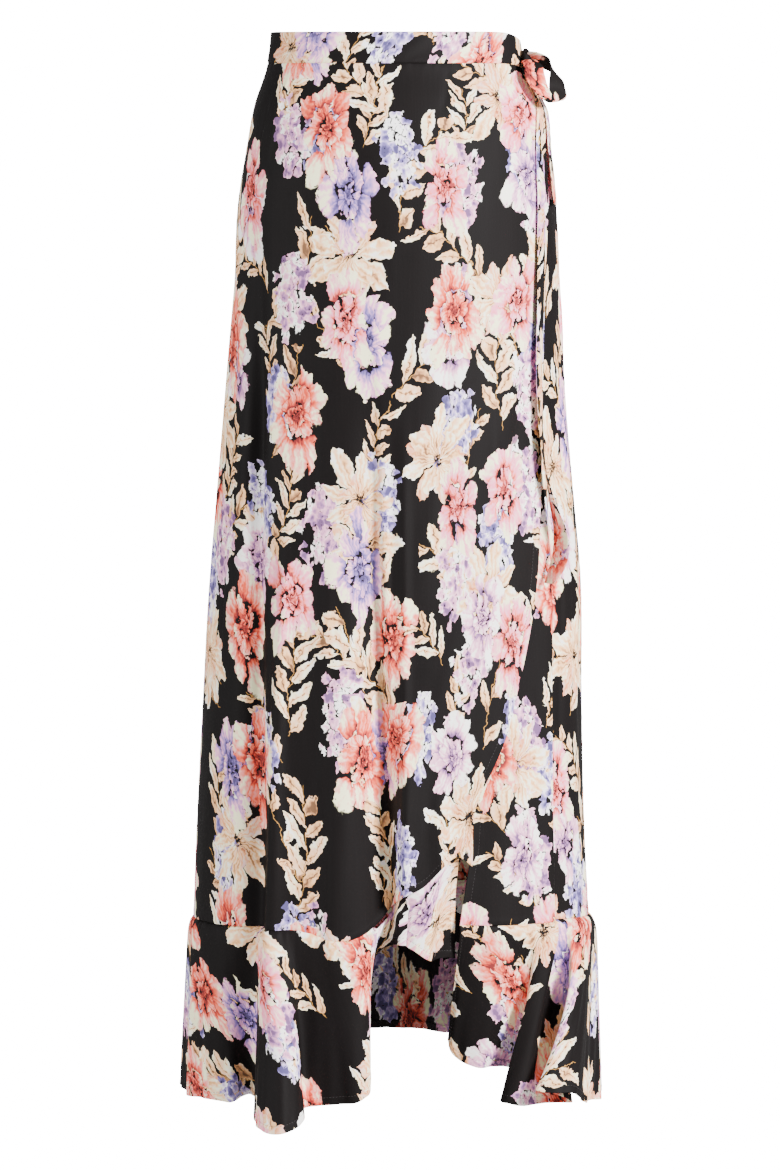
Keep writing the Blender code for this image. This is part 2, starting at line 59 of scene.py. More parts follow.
# ---------------------------------------------------------------- the skirt's own sizes (mm, degrees)
BAND_TOP, BAND_FOOT = -15.0, 14.7
BAND_WALL, BAND_PROUD = 2.2, 0.3
BAND_COLUMNS, BAND_FOOT_ROWS = 380, (4.0, 2.6, 1.6, 0.8, 0.3, 0.0)
BAND_CLOTH, TIE_CLOTH, KNOT_CLOTH = 0.55, 0.4, 0.45
SEAM_GAP = 0.3
LAYER_STEP = 5.0
LEFT_SEAM, RIGHT_SEAM = 90.0, 270.0
FRONT_DIP, HIP_DIP, HIP_DIP_AZIMUTH, HIP_DIP_SPREAD, DIP_FADE = 9.0, 13.0, 86.0, 18.0, 45.0
PUFF_FRONT, PUFF_LEFT_HIP, PUFF_RIGHT_HIP, PUFF_HEIGHT = 3.5, 8.0, 5.0, 0.035

# drop, then half widths at the right and left hip and half depths at the front and back
FIGURE = np.array((
    (-15, 119, 121.5, 88, 94), (16, 122.5, 128, 93, 99), (55, 135, 146, 104, 118),
    (98, 143, 151, 113, 136), (147, 151, 156, 118, 146), (235, 155.5, 161, 122, 148),
    (330, 163, 166, 127, 146), (430, 172, 174.5, 132, 147), (510, 179.5, 181.5, 136, 149),
    (635, 187, 183, 143, 153), (750, 193.5, 186, 149, 157), (850, 198, 191.5, 153, 160),
    (1020, 205, 198, 158, 164),
), float)

# Long folds: azimuth at the top and low down, the drops where they start and are full, how far
# they stand out, and their half widths before and after the middle.
FOLDS = (
    (-58, -42, 130, 420, -11, 4.5, 4.0), (-38, -35, 330, 800, 12, 3.6, 4.5),
    (-17, -17, 560, 820, 5, 3.0, 6.0), (-10, -1.5, 200, 720, -21, 7.0, 1.7),
    (3, 2.2, 580, 780, 9, 1.5, 6.5), (13, 12, 640, 780, 5, 3.0, 2.4),
    (55.5, 51, 300, 640, 5, 6.0, 1.6), (59.5, 55, 300, 640, -6, 1.8, 8.0),
    (108, 106, 180, 780, -8, 5.0, 5.0), (124, 126, 220, 800, 9, 7.0, 6.0),
    (141, 139, 260, 760, -12, 6.0, 6.0), (157, 158, 200, 800, 8, 7.0, 7.0),
    (172, 171, 240, 800, -10, 6.0, 7.0), (186, 188, 280, 820, 9, 7.0, 6.0),
    (203, 201, 220, 780, -12, 7.0, 6.0), (219, 221, 260, 800, 10, 7.0, 7.0),
    (236, 234, 220, 760, -9, 6.0, 6.0), (251, 252, 280, 820, 7, 6.0, 6.0),
)

FOLD_DRIFT = 640.0              # a fold moves from its first azimuth to its second in this drop

# Free edges and lower edges of the panels, as drop and azimuth.
OVERLAY_EDGE = np.array((
    (-15, 72), (16, 73), (60, 69.5), (101, 68.5), (236, 60), (342, 55), (437, 50), (505, 46.5),
    (569, 42), (624, 37), (657, 33.5), (685, 29), (712, 24.2), (774, 22),
), float)
UNDERLAP_EDGE = np.array((
    (-15, -58), (16, -58), (120, -47), (220, -28), (300, -10), (360, 1), (440, 6), (520, 10),
    (600, 15), (660, 21), (711, 24.2), (765, 23.6), (790, 22), (832, 19.5),
), float)
OVERLAY_FOOT = np.array((
    (846, -90), (841, -60), (836, -30), (833, -5), (827, -3), (806, 1), (789, 9), (772, 13.6),
    (765, 17.5), (774, 22),
), float)
UNDERLAP_FOOT = np.array(((832, 19.5), (834, 35), (837, 60), (845, 90)), float)
BACK_FOOT = np.array(((845, 90), (844, 140), (844, 180), (845, 220), (846, 270)), float)
UNDERLAP_TUCK, UNDERLAP_TUCK_SPREAD, UNDERLAP_TUCK_START = 9.0, 9.0, 450.0

# Hems of the flounces: azimuth of the seam above, x, y and drop of the hem, how far the top lies
# behind the overlay, and how far the cloth stands out halfway down.
OVERLAY_HEM = (
    (-90, -213, 0, 1014), (-85, -212, -24, 1013), (-80, -203, -45, 1011), (-75, -203, -66, 1011),
    (-69, -189, -85, 1008), (-62, -172, -104, 1006.5), (-56, -158, -112, 1006.5),
    (-51, -147, -103, 1003), (-47, -139, -98, 1002), (-43.5, -132, -113, 1006),
    (-41, -133, -152, 1014), (-39, -125, -182, 1017), (-36, -109, -192, 1017),
    (-33, -94, -187, 1013), (-30.5, -86, -171, 1009), (-28.5, -86, -155, 1002),
    (-25, -75, -151, 1000), (-20, -50, -158, 997), (-15, -37, -160, 995), (-11, -29, -157, 991),
    (-8.8, -24.5, -149, 986), (-7.6, -26, -142, 968), (-6.4, -29, -134, 942),
    (-5.4, -31, -127, 912), (-4.4, -30, -121, 885, 0.3), (-3.4, -24, -117.5, 868, 1.5),
    (-2.4, -13, -119, 857, 3), (-1.2, -4, -126, 852, 4), (0.4, 0.5, -140, 849, 4),
    (3, 6.5, -149, 850, 4), (6, 17, -149, 854, 4), (9.5, 30.5, -145, 863, 4), (13, 40, -134, 864, 4),
    (16, 51, -128, 865, 4), (18.5, 57, -125, 866, 4),
)
CASCADE_START, CASCADE_LAP = -4.4, 6.0
UNDERLAP_HEM = (
    (19.5, 49, -97, 950), (21.5, 54.5, -101, 964), (24.5, 64, -105, 970), (28, 77, -105, 974),
    (32, 90, -100, 975), (36, 102, -90, 977), (39, 113, -79, 982), (42, 118, -86, 989),
    (44.5, 111, -104, 996), (46.5, 101, -118, 1001), (48, 99, -127, 1002), (50, 106, -134, 1002),
    (52, 117, -135, 1004), (54, 128, -129, 1005, 0, -3), (56, 141, -120, 1005, 0, -8),
    (58, 158, -114, 1006, 0, -12), (59.5, 167, -121, 1004, 0, -9), (61, 160, -134, 997, 0, -1),
    (62.5, 142, -146, 987, 0, 8), (64, 131, -153, 984, 0, 13), (66, 136, -161, 984, 0, 12),
    (68.5, 150, -162, 985, 0, 8), (71, 165, -154, 987, 0, 3), (75, 180, -124, 1003),
    (77, 182, -105, 1008), (79, 186, -87, 1010), (81.5, 199, -64, 1015), (84, 197, -42, 1018),
    (87, 202, -20, 1021), (90, 204, 0, 1022),
)
# Waves of the back flounce: azimuth, reach out from the body, drop.
BACK_WAVES = (
    (97, -5, 1016), (104, 10, 1013), (111, 20, 1012), (117, -6, 1006), (123, -3, 1005),
    (131, 24, 1009), (139, 18, 1008), (146, -12, 1001), (152, 0, 1002), (160, 20, 1003),
    (166, 8, 1000), (172, -11, 991), (178, -4, 994), (184, 8, 998), (191, 22, 1002),
    (198, 24, 1005), (205, -8, 1000), (211, -10, 1000), (219, 20, 1008), (227, 24, 1010),
    (234, -6, 1004), (240, 2, 1006), (248, 18, 1012), (256, 10, 1013), (263, -3, 1013),
)

# Ties
KNOT_AZIMUTH, KNOT_DROP, KNOT_SIZE = 429.0, 9.5, (5.0, 8.0, 13.5)
# The loop: places along its middle line, and its width there.
LOOP_WAY = (
    (121, -38, -17, 5, 7, 2), (126, -49, -18, 13, 6, 2), (130, -56, -24, 18, 5, 2),
    (131.5, -60, -32.5, 18, 6, 4), (135.5, -60, -42, 14, 9, 7), (142, -57, -50.5, 8, 13, 8),
    (148.5, -52, -55.3, 7, 17, 5), (153.3, -47, -54.3, 12, 15, 1), (154.2, -43, -48.5, 17, 11, -3),
    (153.3, -41, -41.5, 16.5, 10, -4), (152.6, -40, -33, 13, 13, -3.5), (149.3, -40, -25.5, 6, 15, -6),
    (144.5, -40, -20, -2.5, 15, -9), (137.5, -40, -16, -5, 13, -9), (131.5, -40, -12.5, -3, 11, -7),
    (126, -38, -10.5, 1, 9, -5), (121.5, -35, -12, 1, 7, -4),
)
# The tails: drop, azimuth, how far out from the skirt, width and turn.
LONG_TAIL = (
    (21, 69.5, 7, 8, 26), (44, 69.5, 5, 12, 22), (72, 69, 4, 18, 24), (102, 67.6, 3.8, 20, 26),
    (150, 64.5, 3.8, 20, 25), (246, 59.6, 3.8, 20, 22), (342, 55.4, 4, 20, 16), (399, 54, 4.5, 20, 6),
    (437, 54.4, 5.5, 21, -14), (465, 54.6, 6.5, 22, -34), (486, 52.6, 7, 22, -42), (503, 50, 7, 20, -38),
    (511, 48.6, 7, 17, -30),
)
SHORT_TAIL = (
    (21, 74.5, 7, 8, 20), (45, 76.5, 4.8, 12, 17), (75, 78, 3.2, 16, 13), (110, 78.6, 2.8, 18, 12),
    (152, 78.8, 2.8, 19, 11),
)
TIE_THICKNESS, TIE_COLUMNS = 1.9, 28

# ---------------------------------------------------------------- what the cloth adds to them
# Distances from a hemmed edge and from a seam at which the mesh has a line of points. Waves are
# rows of a length, a height and a phase.
HEM_STEPS = (0.0, 0.5, 1.3, 2.6, 4.2, 5.6, 6.2, 6.7, 7.2, 7.8, 9.0, 11.0)
STITCH_STEP = 7                 # the one of them that the topstitching follows
HEM_DEPTH, HEM_PROUD, HEM_STITCHES = 7.0, 6.8, 6.7
SEAM_STEPS = (0.0, 0.7, 1.6, 3.0, 5.0, 8.0)
PUCKERS = ((9.1, 0.5, 0.3), (14.3, 0.45, 1.9), (23.7, 0.4, 4.0))
DRAPE = ((31.0, 0.5, 0.2), (47.0, 0.6, 2.1), (83.0, 0.7, 5.0))
BAND_WAVES = ((27.0, 0.5, 1.0), (43.0, 0.6, 2.0), (71.0, 0.6, 0.3))
TAIL_WAVES = ((13.0, 0.5, 0.4), (29.0, 0.7, 2.0), (61.0, 0.7, 4.0))
LOOP_WAVES = ((11.0, 0.5, 0.7), (23.0, 0.7, 1.0))

# Pressed and hanging creases of the panels: azimuth and drop of both ends, half width, height.
CREASES = (
    (-62, 30, -70, 210, 5.0, -1.6), (-52, 22, -56, 120, 4.0, 1.2), (-30, 18, -33, 66, 3.0, -1.0),
    (-8, 18, -5, 52, 3.0, 0.8), (22, 18, 16, 74, 3.5, -0.9), (44, 18, 36, 96, 4.5, -1.2),
    (52, 20, 47, 150, 4.0, 1.1), (-72, 260, -64, 620, 6.0, -1.8), (-50, 420, -48, 760, 5.0, 1.5),
    (-27, 300, -26, 700, 5.0, -1.5), (-20, 470, -22, 800, 4.0, 1.3), (18, 240, 12, 560, 6.0, -1.3),
    (34, 330, 24, 640, 5.5, 1.4), (64, 380, 62, 760, 5.0, -1.6), (76, 300, 74, 700, 6.0, 1.7),
    (83, 120, 82, 420, 6.0, -1.5), (-82, 180, -80, 640, 6.0, 1.6), (98, 90, 100, 460, 6.0, 1.5),
    (116, 60, 117, 380, 5.0, -1.4), (133, 120, 132, 520, 6.0, 1.6), (150, 60, 149, 330, 5.0, -1.5),
    (165, 180, 165, 640, 5.0, 1.5), (180, 50, 179, 260, 5.0, -1.3), (195, 160, 195, 600, 6.0, 1.5),
    (211, 70, 210, 420, 5.0, -1.5), (228, 150, 228, 620, 6.0, 1.7), (244, 60, 243, 400, 5.0, -1.5),
    (260, 160, 261, 640, 6.0, 1.5), (-1.8, 330, -0.6, 860, 5.0, -3.0), (2.6, 330, 2.3, 860, 4.0, 2.2),
    (-39.0, 420, -38.2, 860, 5.0, -2.5), (-34.6, 420, -34.2, 860, 4.0, 2.0),
)


# ---------------------------------------------------------------- curves through short tables
def smooth(value):
    value = np.clip(value, 0.0, 1.0)
    return value * value * (3.0 - 2.0 * value)


def through(keys, values, at):
    """A smooth curve through the rows of a table, straight on beyond its ends."""
    keys, values, at = (np.asarray(a, float) for a in (keys, values, at))
    slopes = np.gradient(values, keys, axis=0)
    i = np.clip(np.searchsorted(keys, at) - 1, 0, len(keys) - 2)
    span, offset = keys[i + 1] - keys[i], at - keys[i]
    low, high = at - keys[0], at - keys[-1]
    if values.ndim > 1:
        span, offset, low, high = (a[..., None] for a in (span, offset, low, high))
    t = offset / span
    inner = ((2 * t ** 3 - 3 * t ** 2 + 1) * values[i] + (t ** 3 - 2 * t ** 2 + t) * span * slopes[i]
             + (3 * t ** 2 - 2 * t ** 3) * values[i + 1] + (t ** 3 - t ** 2) * span * slopes[i + 1])
    inner = np.where(t < 0.0, values[0] + slopes[0] * low, inner)
    return np.where(t > 1.0, values[-1] + slopes[-1] * high, inner)


def edge_azimuth(rows, drop):
    return through(rows[:, 0], rows[:, 1], drop)


def foot_drop(rows, azimuth):
    return through(rows[:, 1], rows[:, 0], azimuth)


def ripple(along, waves):
    """A gentle uneven wave: a few sines whose lengths don't divide each other."""
    return sum(height * np.sin(2.0 * np.pi * along / length + phase) for length, height, phase in waves)


# ---------------------------------------------------------------- the body of the skirt
def angle_from(middle, azimuth):
    """The turn from one azimuth to another, from -180 to 180."""
    return (azimuth - middle + 180.0) % 360.0 - 180.0


def fold_reach(azimuth, drop):
    total = 0.0
    for top, low, start, full, reach, before, after in FOLDS:
        grown = smooth((drop - start) / (full - start))
        middle = top + (low - top) * np.clip((drop - start) / FOLD_DRIFT, 0.0, 1.0)
        away = angle_from(middle, azimuth)
        total = total + reach * grown * np.exp(-(away / np.where(away < 0.0, before, after)) ** 2)
    return total


def layer(azimuth):
    """The wrap winds round in a spiral: inside at its start, outside at its end."""
    return 0.5 * LAYER_STEP * (smooth((azimuth - 232.0) / 60.0) - 1.0 + smooth((azimuth - 62.0) / 66.0))


def figure_at(drop):
    """The four half widths and depths of the figure at a drop."""
    return through(FIGURE[:, 0], FIGURE[:, 1:], drop)


def dip(azimuth, drop):
    front = np.cos(np.radians(azimuth))
    front = 0.5 * (front + np.hypot(front, 0.2))
    away = angle_from(HIP_DIP_AZIMUTH, azimuth)
    fade = np.exp(-(np.maximum(drop - 16.0, 0.0) / DIP_FADE) ** 2)
    return (FRONT_DIP * front + HIP_DIP * np.exp(-(away / HIP_DIP_SPREAD) ** 2)) * fade


def on_body(azimuth, drop, out=0.0):
    """Points of the skirt, `out` in front of the spiral surface."""
    azimuth, drop = np.broadcast_arrays(np.asarray(azimuth, float), np.asarray(drop, float))
    right, left, front, back = np.moveaxis(figure_at(drop), -1, 0)
    angle = np.radians(azimuth)
    wide = np.where(np.sin(angle) > 0.0, left, right)
    deep = np.where(np.cos(angle) > 0.0, front, back)
    x, y = wide * np.sin(angle), -deep * np.cos(angle)
    nx, ny = x / wide ** 2, y / deep ** 2
    reach = (fold_reach(azimuth, drop) + layer(azimuth) + out) / np.hypot(nx, ny)
    return np.stack((x + reach * nx, y + reach * ny, -drop - dip(azimuth, drop)), -1)


def on_overlay(azimuth, drop, out=0.0):
    return on_body(azimuth + 360.0, drop, out)


def on_underlap(azimuth, drop, out=0.0):
    away = azimuth - edge_azimuth(UNDERLAP_EDGE, drop)
    tuck = UNDERLAP_TUCK * np.exp(-(away / UNDERLAP_TUCK_SPREAD) ** 2)
    tuck = tuck * smooth((drop - UNDERLAP_TUCK_START) / 220.0)
    return on_body(azimuth, drop, out - tuck)


def degrees_per_mm(surface, azimuth, drop):
    step = surface(azimuth + 0.5, drop) - surface(azimuth - 0.5, drop)
    return 1.0 / np.linalg.norm(step[..., :2], axis=-1)


def crease_reach(azimuth, drop):
    """Small listed creases, each fading out towards its two ends."""
    total = 0.0
    for start, top, end, foot, half, height in CREASES:
        share = (drop - top) / (foot - top)
        away = angle_from(start + (end - start) * share, azimuth) * 2.8 / half
        total = total + height * np.exp(-away ** 2) * smooth(share * 4.0) * smooth((1.0 - share) * 3.0)
    return total


# ---------------------------------------------------------------- cloth as a closed shell
def unit(vectors):
    return vectors / np.maximum(np.linalg.norm(vectors, axis=-1, keepdims=True), 1e-9)


def measured(grid, axis):
    """Lengths along the rows or columns of a grid of points, from their start."""
    length = np.cumsum(np.linalg.norm(np.diff(grid, axis=axis), axis=-1), axis=axis)
    return np.concatenate((np.zeros_like(np.take(length, [0], axis)), length), axis=axis)


def surface_normals(grid, closed=False):
    """Outward directions of a grid whose rows go down and whose columns go round to the left."""
    round_it = np.roll(grid, -1, 1) - np.roll(grid, 1, 1) if closed else np.gradient(grid, axis=1)
    return unit(np.cross(np.gradient(grid, axis=0), round_it))


def raised(grid, relief, closed=False):
    """A grid moved outwards by a relief."""
    return grid + surface_normals(grid, closed) * relief[..., None]


def shell(grid, thickness, flat, closed=False):
    """Points, faces, flat coordinates and sides of a cloth whose right side runs through a grid.

    `flat` has a place on the cut cloth for each point, and one column more where the grid closes
    on itself. All free edges are rounded.
    """
    out = surface_normals(grid, closed)
    half = 0.5 * np.broadcast_to(thickness, grid.shape[:2])[..., None]
    middle = grid - out * half
    down, across = unit(np.gradient(middle, axis=0)), unit(np.gradient(middle, axis=1))
    ring = ((1, 1), (0, 0) if closed else (1, 1), (0, 0))
    middle, out, half, down, across, flat = (
        np.pad(a, ring, mode="edge") for a in (middle, out, half, down, across, flat))
    edge = np.zeros_like(middle)
    edge[0], edge[-1] = -down[0], down[-1]
    if not closed:
        edge[:, 0] -= across[:, 0]
        edge[:, -1] += across[:, -1]
    edge = unit(edge)
    turn = np.where(np.linalg.norm(edge, axis=-1, keepdims=True) > 0.5, math.sqrt(0.5), 1.0)
    right = middle + half * (out * turn + edge * math.sqrt(0.5))
    wrong = middle + half * (edge * math.sqrt(0.5) - out * turn)
    high, wide = right.shape[:2]
    number = np.arange(high * wide).reshape(high, wide)
    if closed:
        number = np.concatenate((number, number[:, :1]), axis=1)
    last = number.shape[1] - 1

    def corners(a):
        return np.stack((a[:-1, :-1], a[1:, :-1], a[1:, 1:], a[:-1, 1:]), 2).reshape(-1, 4, *a.shape[2:])

    faces = [corners(number), corners(number)[:, ::-1] + high * wide]
    flats = [corners(flat), corners(flat)[:, ::-1]]
    sides = [np.zeros(len(faces[0]), int), np.ones(len(faces[0]), int)]
    top = [(0, i) for i in range(last + 1)]
    foot = [(high - 1, i) for i in range(last, -1, -1)]
    paths = [top, foot]
    if not closed:
        inner = range(1, high - 1)
        paths = [top + [(j, last) for j in inner] + foot + [(j, 0) for j in (*inner[::-1], 0)]]
    points = [right.reshape(-1, 3), wrong.reshape(-1, 3)]
    count = 2 * high * wide
    for path in paths:
        j, i = np.array(path).T
        rim = count + np.arange(len(path)) % (len(path) - 1)
        points.append((middle + half * edge)[j, i % wide][:-1])
        count += len(path) - 1
        a, b = number[j, i], number[j, i] + high * wide
        faces.append(np.stack((a[:-1], a[1:], rim[1:], rim[:-1]), 1))
        faces.append(np.stack((rim[:-1], rim[1:], b[1:], b[:-1]), 1))
        place = flat[j, i]
        for _ in range(2):
            flats.append(np.stack((place[:-1], place[1:], place[1:], place[:-1]), 1))
            sides.append(np.zeros(len(path) - 1, int))
    return np.concatenate(points), np.concatenate(faces), np.concatenate(flats), np.concatenate(sides)


def new_object(name, data):
    made = bpy.data.objects.new(name, data)
    bpy.context.collection.objects.link(made)
    return made


def cloth_object(name, grid, thickness, flat, closed=False):
    points, faces, flats, sides = shell(grid, thickness, flat, closed)
    mesh = bpy.data.meshes.new(name)
    mesh.vertices.add(len(points))
    mesh.vertices.foreach_set("co", (points * MM).ravel())
    mesh.loops.add(faces.size)
    mesh.loops.foreach_set("vertex_index", faces.ravel())
    mesh.polygons.add(len(faces))
    mesh.polygons.foreach_set("loop_start", np.arange(0, faces.size, 4))
    mesh.polygons.foreach_set("material_index", sides)
    mesh.uv_layers.new(name="cloth").data.foreach_set("uv", (flats * MM).ravel())
    for finish in skirt_cloth():
        mesh.materials.append(finish)
    mesh.update(calc_edges=True)
    mesh.validate()
    mesh.shade_smooth()
    return new_object(name, mesh)


def hem_relief(distance, along):
    """A turned hem: a little proud, drawn in along its stitches, puckered beside them."""
    proud = 0.15 * (1.0 - smooth((distance - HEM_PROUD) / 0.8))
    groove = -0.3 * np.exp(-((distance - HEM_STITCHES) / 0.55) ** 2)
    pucker = 0.28 * ripple(along, PUCKERS) * np.exp(-((distance - HEM_STITCHES) / 4.5) ** 2)
    return proud + groove + pucker


def doubled(distance):
    """1 where the cloth of a hem lies double, and 0 beyond its depth."""
    return 1.0 - smooth((distance - HEM_DEPTH) / 0.6)


def cloth_thickness(hem):
    """The thickness of the single cloth, and of a turned hem where `hem` is 1."""
    sizes = bpy.context.scene.skirt_sizes
    return (sizes.cloth + sizes.turned * hem) / MM


def seam_relief(distance, along):
    """A sewn edge: rolled in at the seam, a little proud over the allowance behind it."""
    return (-0.3 * np.exp(-distance / 0.7) + 0.2 * np.exp(-((distance - 4.0) / 2.6) ** 2)
            + 0.3 * ripple(along, PUCKERS) * np.exp(-distance / 5.0))


def even_shares(count):
    """Shares between 0 and 1, with the same step to both of them as between each other."""
    return np.linspace(0.0, 1.0, count + 2)[1:-1]


def stations(start, stop, count, first, last):
    """Positions from start to stop: some at set distances from both ends, the others even."""
    start, stop = np.broadcast_arrays(np.asarray(start, float), np.asarray(stop, float))
    first, last, even = (np.array(steps).reshape((-1,) + (1,) * start.ndim)
                         for steps in (first, last[::-1], even_shares(count)))
    near, far = start + first, stop - last
    return np.concatenate((near, near[-1] + (far[0] - near[-1]) * even, far))


# ---------------------------------------------------------------- panels
METRE_DROPS = np.arange(-20.0, 1101.0, 2.0)
METRE_SLOPES = np.gradient(figure_at(METRE_DROPS).mean(axis=1), METRE_DROPS)
METRE_LENGTHS = np.cumsum(np.hypot(1.0, METRE_SLOPES)) * 2.0


def cloth_length(drop):
    """The length down the cloth at a drop."""
    return np.interp(drop, METRE_DROPS, METRE_LENGTHS)


# A panel's surface and lower edge, the row of that edge to start from, its left and right edges and
# what they are, its columns and rows, the azimuth that its grain runs down, its place on the printed
# cloth, and the azimuth from which its lower edge is a hem and no seam.
Panel = namedtuple("Panel", "surface foot middle left right edges columns rows grain place hem_from",
                   defaults=(None,))


def panel_grid(panel):
    """Azimuths, drops and points of a panel between its left and right edges."""
    steps = {"hem": HEM_STEPS, "seam": SEAM_STEPS}
    left_steps, right_steps = (steps[kind] for kind in panel.edges)

    def azimuths(drop):
        low, high = panel.left(drop), panel.right(drop)
        before = degrees_per_mm(panel.surface, low + 1.0, drop)
        after = degrees_per_mm(panel.surface, high - 1.0, drop)
        near = [low + step * before for step in left_steps]
        far = [high - step * after for step in reversed(right_steps)]
        inner = [near[-1] + (far[0] - near[-1]) * share for share in even_shares(panel.columns)]
        return np.stack(near + inner + far, -1)

    feet = foot_drop(panel.foot, azimuths(np.array(panel.foot[panel.middle, 0])))
    drop = stations(BAND_FOOT + SEAM_GAP, feet, panel.rows, SEAM_STEPS, HEM_STEPS)
    azimuth = np.empty_like(drop)
    for i in range(drop.shape[1]):
        azimuth[:, i] = azimuths(drop[:, i])[:, i]
    return azimuth, drop, panel.surface(azimuth, drop)


def panel_flat(azimuth, drop, grid, anchor, place):
    """Where each point was on the cut cloth, whose grain runs down the azimuth of the anchor."""
    round_it = measured(grid, 1)
    middle = np.array([np.interp(anchor, a, r) for a, r in zip(azimuth, round_it)])
    return np.stack((round_it - middle[:, None] + place[0], place[1] - cloth_length(drop)), -1)


def trimmed(azimuth, drop, side):
    """An azimuth moved off a side seam by half the seam's gap."""
    size = figure_at(drop)
    return azimuth + side * np.degrees(0.5 * SEAM_GAP / np.minimum(size[..., 2], size[..., 3]))


def dress_panel(name, panel):
    """A panel's cloth, and the lines of the topstitching along its hems."""
    azimuth, drop, grid = panel_grid(panel)
    round_it, down = measured(grid, 1), measured(grid, 0)
    relief = crease_reach(azimuth, drop) + 0.35 * ripple(round_it + 0.06 * down, DRAPE) * smooth(down / 260.0)
    relief = relief + seam_relief(down, round_it)
    hem = np.zeros_like(down)
    for kind, away in zip(panel.edges, (round_it, round_it[:, -1:] - round_it)):
        if kind == "hem":
            relief = relief + hem_relief(away, down)
            hem = np.maximum(hem, doubled(away))
        else:
            relief = relief + seam_relief(away, down)
    to_foot = down[-1:] - down
    share = 0.0 * down if panel.hem_from is None else smooth((azimuth - panel.hem_from) / 3.0)
    relief = relief + share * hem_relief(to_foot, round_it) + (1.0 - share) * seam_relief(to_foot, round_it)
    hem = np.maximum(hem, share * doubled(to_foot))
    grid = raised(grid, relief)
    flat = panel_flat(azimuth, drop, grid, panel.grain, panel.place)
    made = cloth_object(name, grid, cloth_thickness(hem), flat)
    row, column = grid.shape[0] - 1 - STITCH_STEP, grid.shape[1] - 1 - STITCH_STEP
    lines = []                  # of the topstitching
    if panel.edges[0] == "hem":
        lines.append(grid[4:-1, STITCH_STEP])
    if panel.edges[1] == "hem":
        start = np.searchsorted(azimuth[-1], panel.hem_from + 2.0)
        lines += [grid[4:row + 1, column], grid[row, start:column + 1]]
    return made, lines


# ---------------------------------------------------------------- flounces
def hem_table(rows):
    return np.array([tuple(row) + (0.0,) * (6 - len(row)) for row in rows], float)


def overlay_seam(azimuth, behind, rise=0.0):
    """The overlay's seam, or where it turns into the cascade, a line behind the overlay."""
    lap = CASCADE_LAP * smooth((azimuth + 2.0) / 3.0)
    below = SEAM_GAP + 0.4 * smooth((azimuth - CASCADE_START) / 2.0)
    drop = foot_drop(OVERLAY_FOOT, azimuth) + below - lap - rise
    return on_overlay(azimuth, drop, -1.3 * np.maximum(behind, 0.0))


def underlap_seam(azimuth, behind, rise=0.0):
    return on_underlap(azimuth, foot_drop(UNDERLAP_FOOT, azimuth) + SEAM_GAP - rise)


def back_seam(azimuth, behind, rise=0.0):
    return on_body(azimuth, foot_drop(BACK_FOOT, azimuth) + SEAM_GAP - rise)


def back_hem_rows():
    """The back's waves as points in plan, between the hems of the two front flounces."""
    rows = [UNDERLAP_HEM[-1]]
    for azimuth, reach, drop in BACK_WAVES:
        x, y, _ = on_body(azimuth, drop)
        flat = on_body(azimuth, drop, 1.0) - (x, y, 0.0)
        rows.append((azimuth, x + flat[0] * reach, y + flat[1] * reach, drop))
    rows.append((RIGHT_SEAM,) + OVERLAY_HEM[0][1:])
    return rows


def plan_normals(line, seams):
    """Outward directions of one level line, in plan: straight sideways at a side seam."""
    along = unit(np.gradient(line[:, :2], axis=0))
    out = np.column_stack((along[:, 1], -along[:, 0], np.zeros(len(line))))
    for end in seams:
        out[end] = (math.copysign(1.0, line[end][0]), 0.0, 0.0)
    return out


def pull_in(line, seams):
    """Parts a line from a side seam by half the seam's gap."""
    for end in seams:
        forward = math.copysign(0.5 * SEAM_GAP, line[1 if end == 0 else -2][1])
        line[end] = line[end] + (0.0, forward, 0.0)
    return line


def flounce_lines(rows, top_point, seams, columns):
    """Tops, hems, and the puff and bow of a flounce, at columns that are even along its hem."""
    table, index = hem_table(rows), np.arange(len(rows))

    def lines(k):
        seam, x, y, drop, behind, bow = through(index, table, k).T
        tops = pull_in(top_point(seam, behind), seams)
        hems = pull_in(np.column_stack((x, y, -drop)), seams)
        hip = np.where(x > 0.0, PUFF_LEFT_HIP, PUFF_RIGHT_HIP)
        puff = PUFF_FRONT + (hip - PUFF_FRONT) * np.sin(np.radians(seam)) ** 2
        rise = unit(top_point(seam, behind, 5.0) - top_point(seam, behind))
        return tops, hems, np.column_stack((puff * (1.0 - smooth(behind)), bow)), seam, rise

    k = np.linspace(0.0, len(rows) - 1.0, SEAM_SAMPLES)
    tops, hems = lines(k)[:2]
    length = measured(hems, 0) + 0.6 * measured(tops, 0)
    ends = [SEAM_STEPS if end in seams else HEM_STEPS for end in (0, -1)]
    at = stations(0.0, length[-1], columns, *ends)
    return lines(np.interp(at, length, k))


def flounce_flat(tops, hems, levels, place):
    """Lays a flounce flat, column by column, so that its seam and its hem keep their lengths."""
    deep = np.linalg.norm(hems - tops, axis=1)
    top_steps = np.linalg.norm(np.diff(tops, axis=0), axis=1)
    hem_steps = np.linalg.norm(np.diff(hems, axis=0), axis=1)
    turn = np.concatenate(([0.0], np.cumsum((hem_steps - top_steps) / (0.5 * (deep[1:] + deep[:-1])))))
    turn -= 0.5 * turn[-1]
    middle = 0.5 * (turn[1:] + turn[:-1])
    steps = top_steps[:, None] * np.column_stack((np.cos(middle), np.sin(middle)))
    start = np.concatenate((np.zeros((1, 2)), np.cumsum(steps, axis=0)))
    down = np.column_stack((np.sin(turn), -np.cos(turn)))
    return start + down * (levels * deep)[..., None] + place


# The allowance of the seam above, which stands up inside it: how far up and how far in.
ALLOWANCE = ((5.5, 2.3), (3.0, 2.3), (0.9, 2.25), (0.18, 2.0))
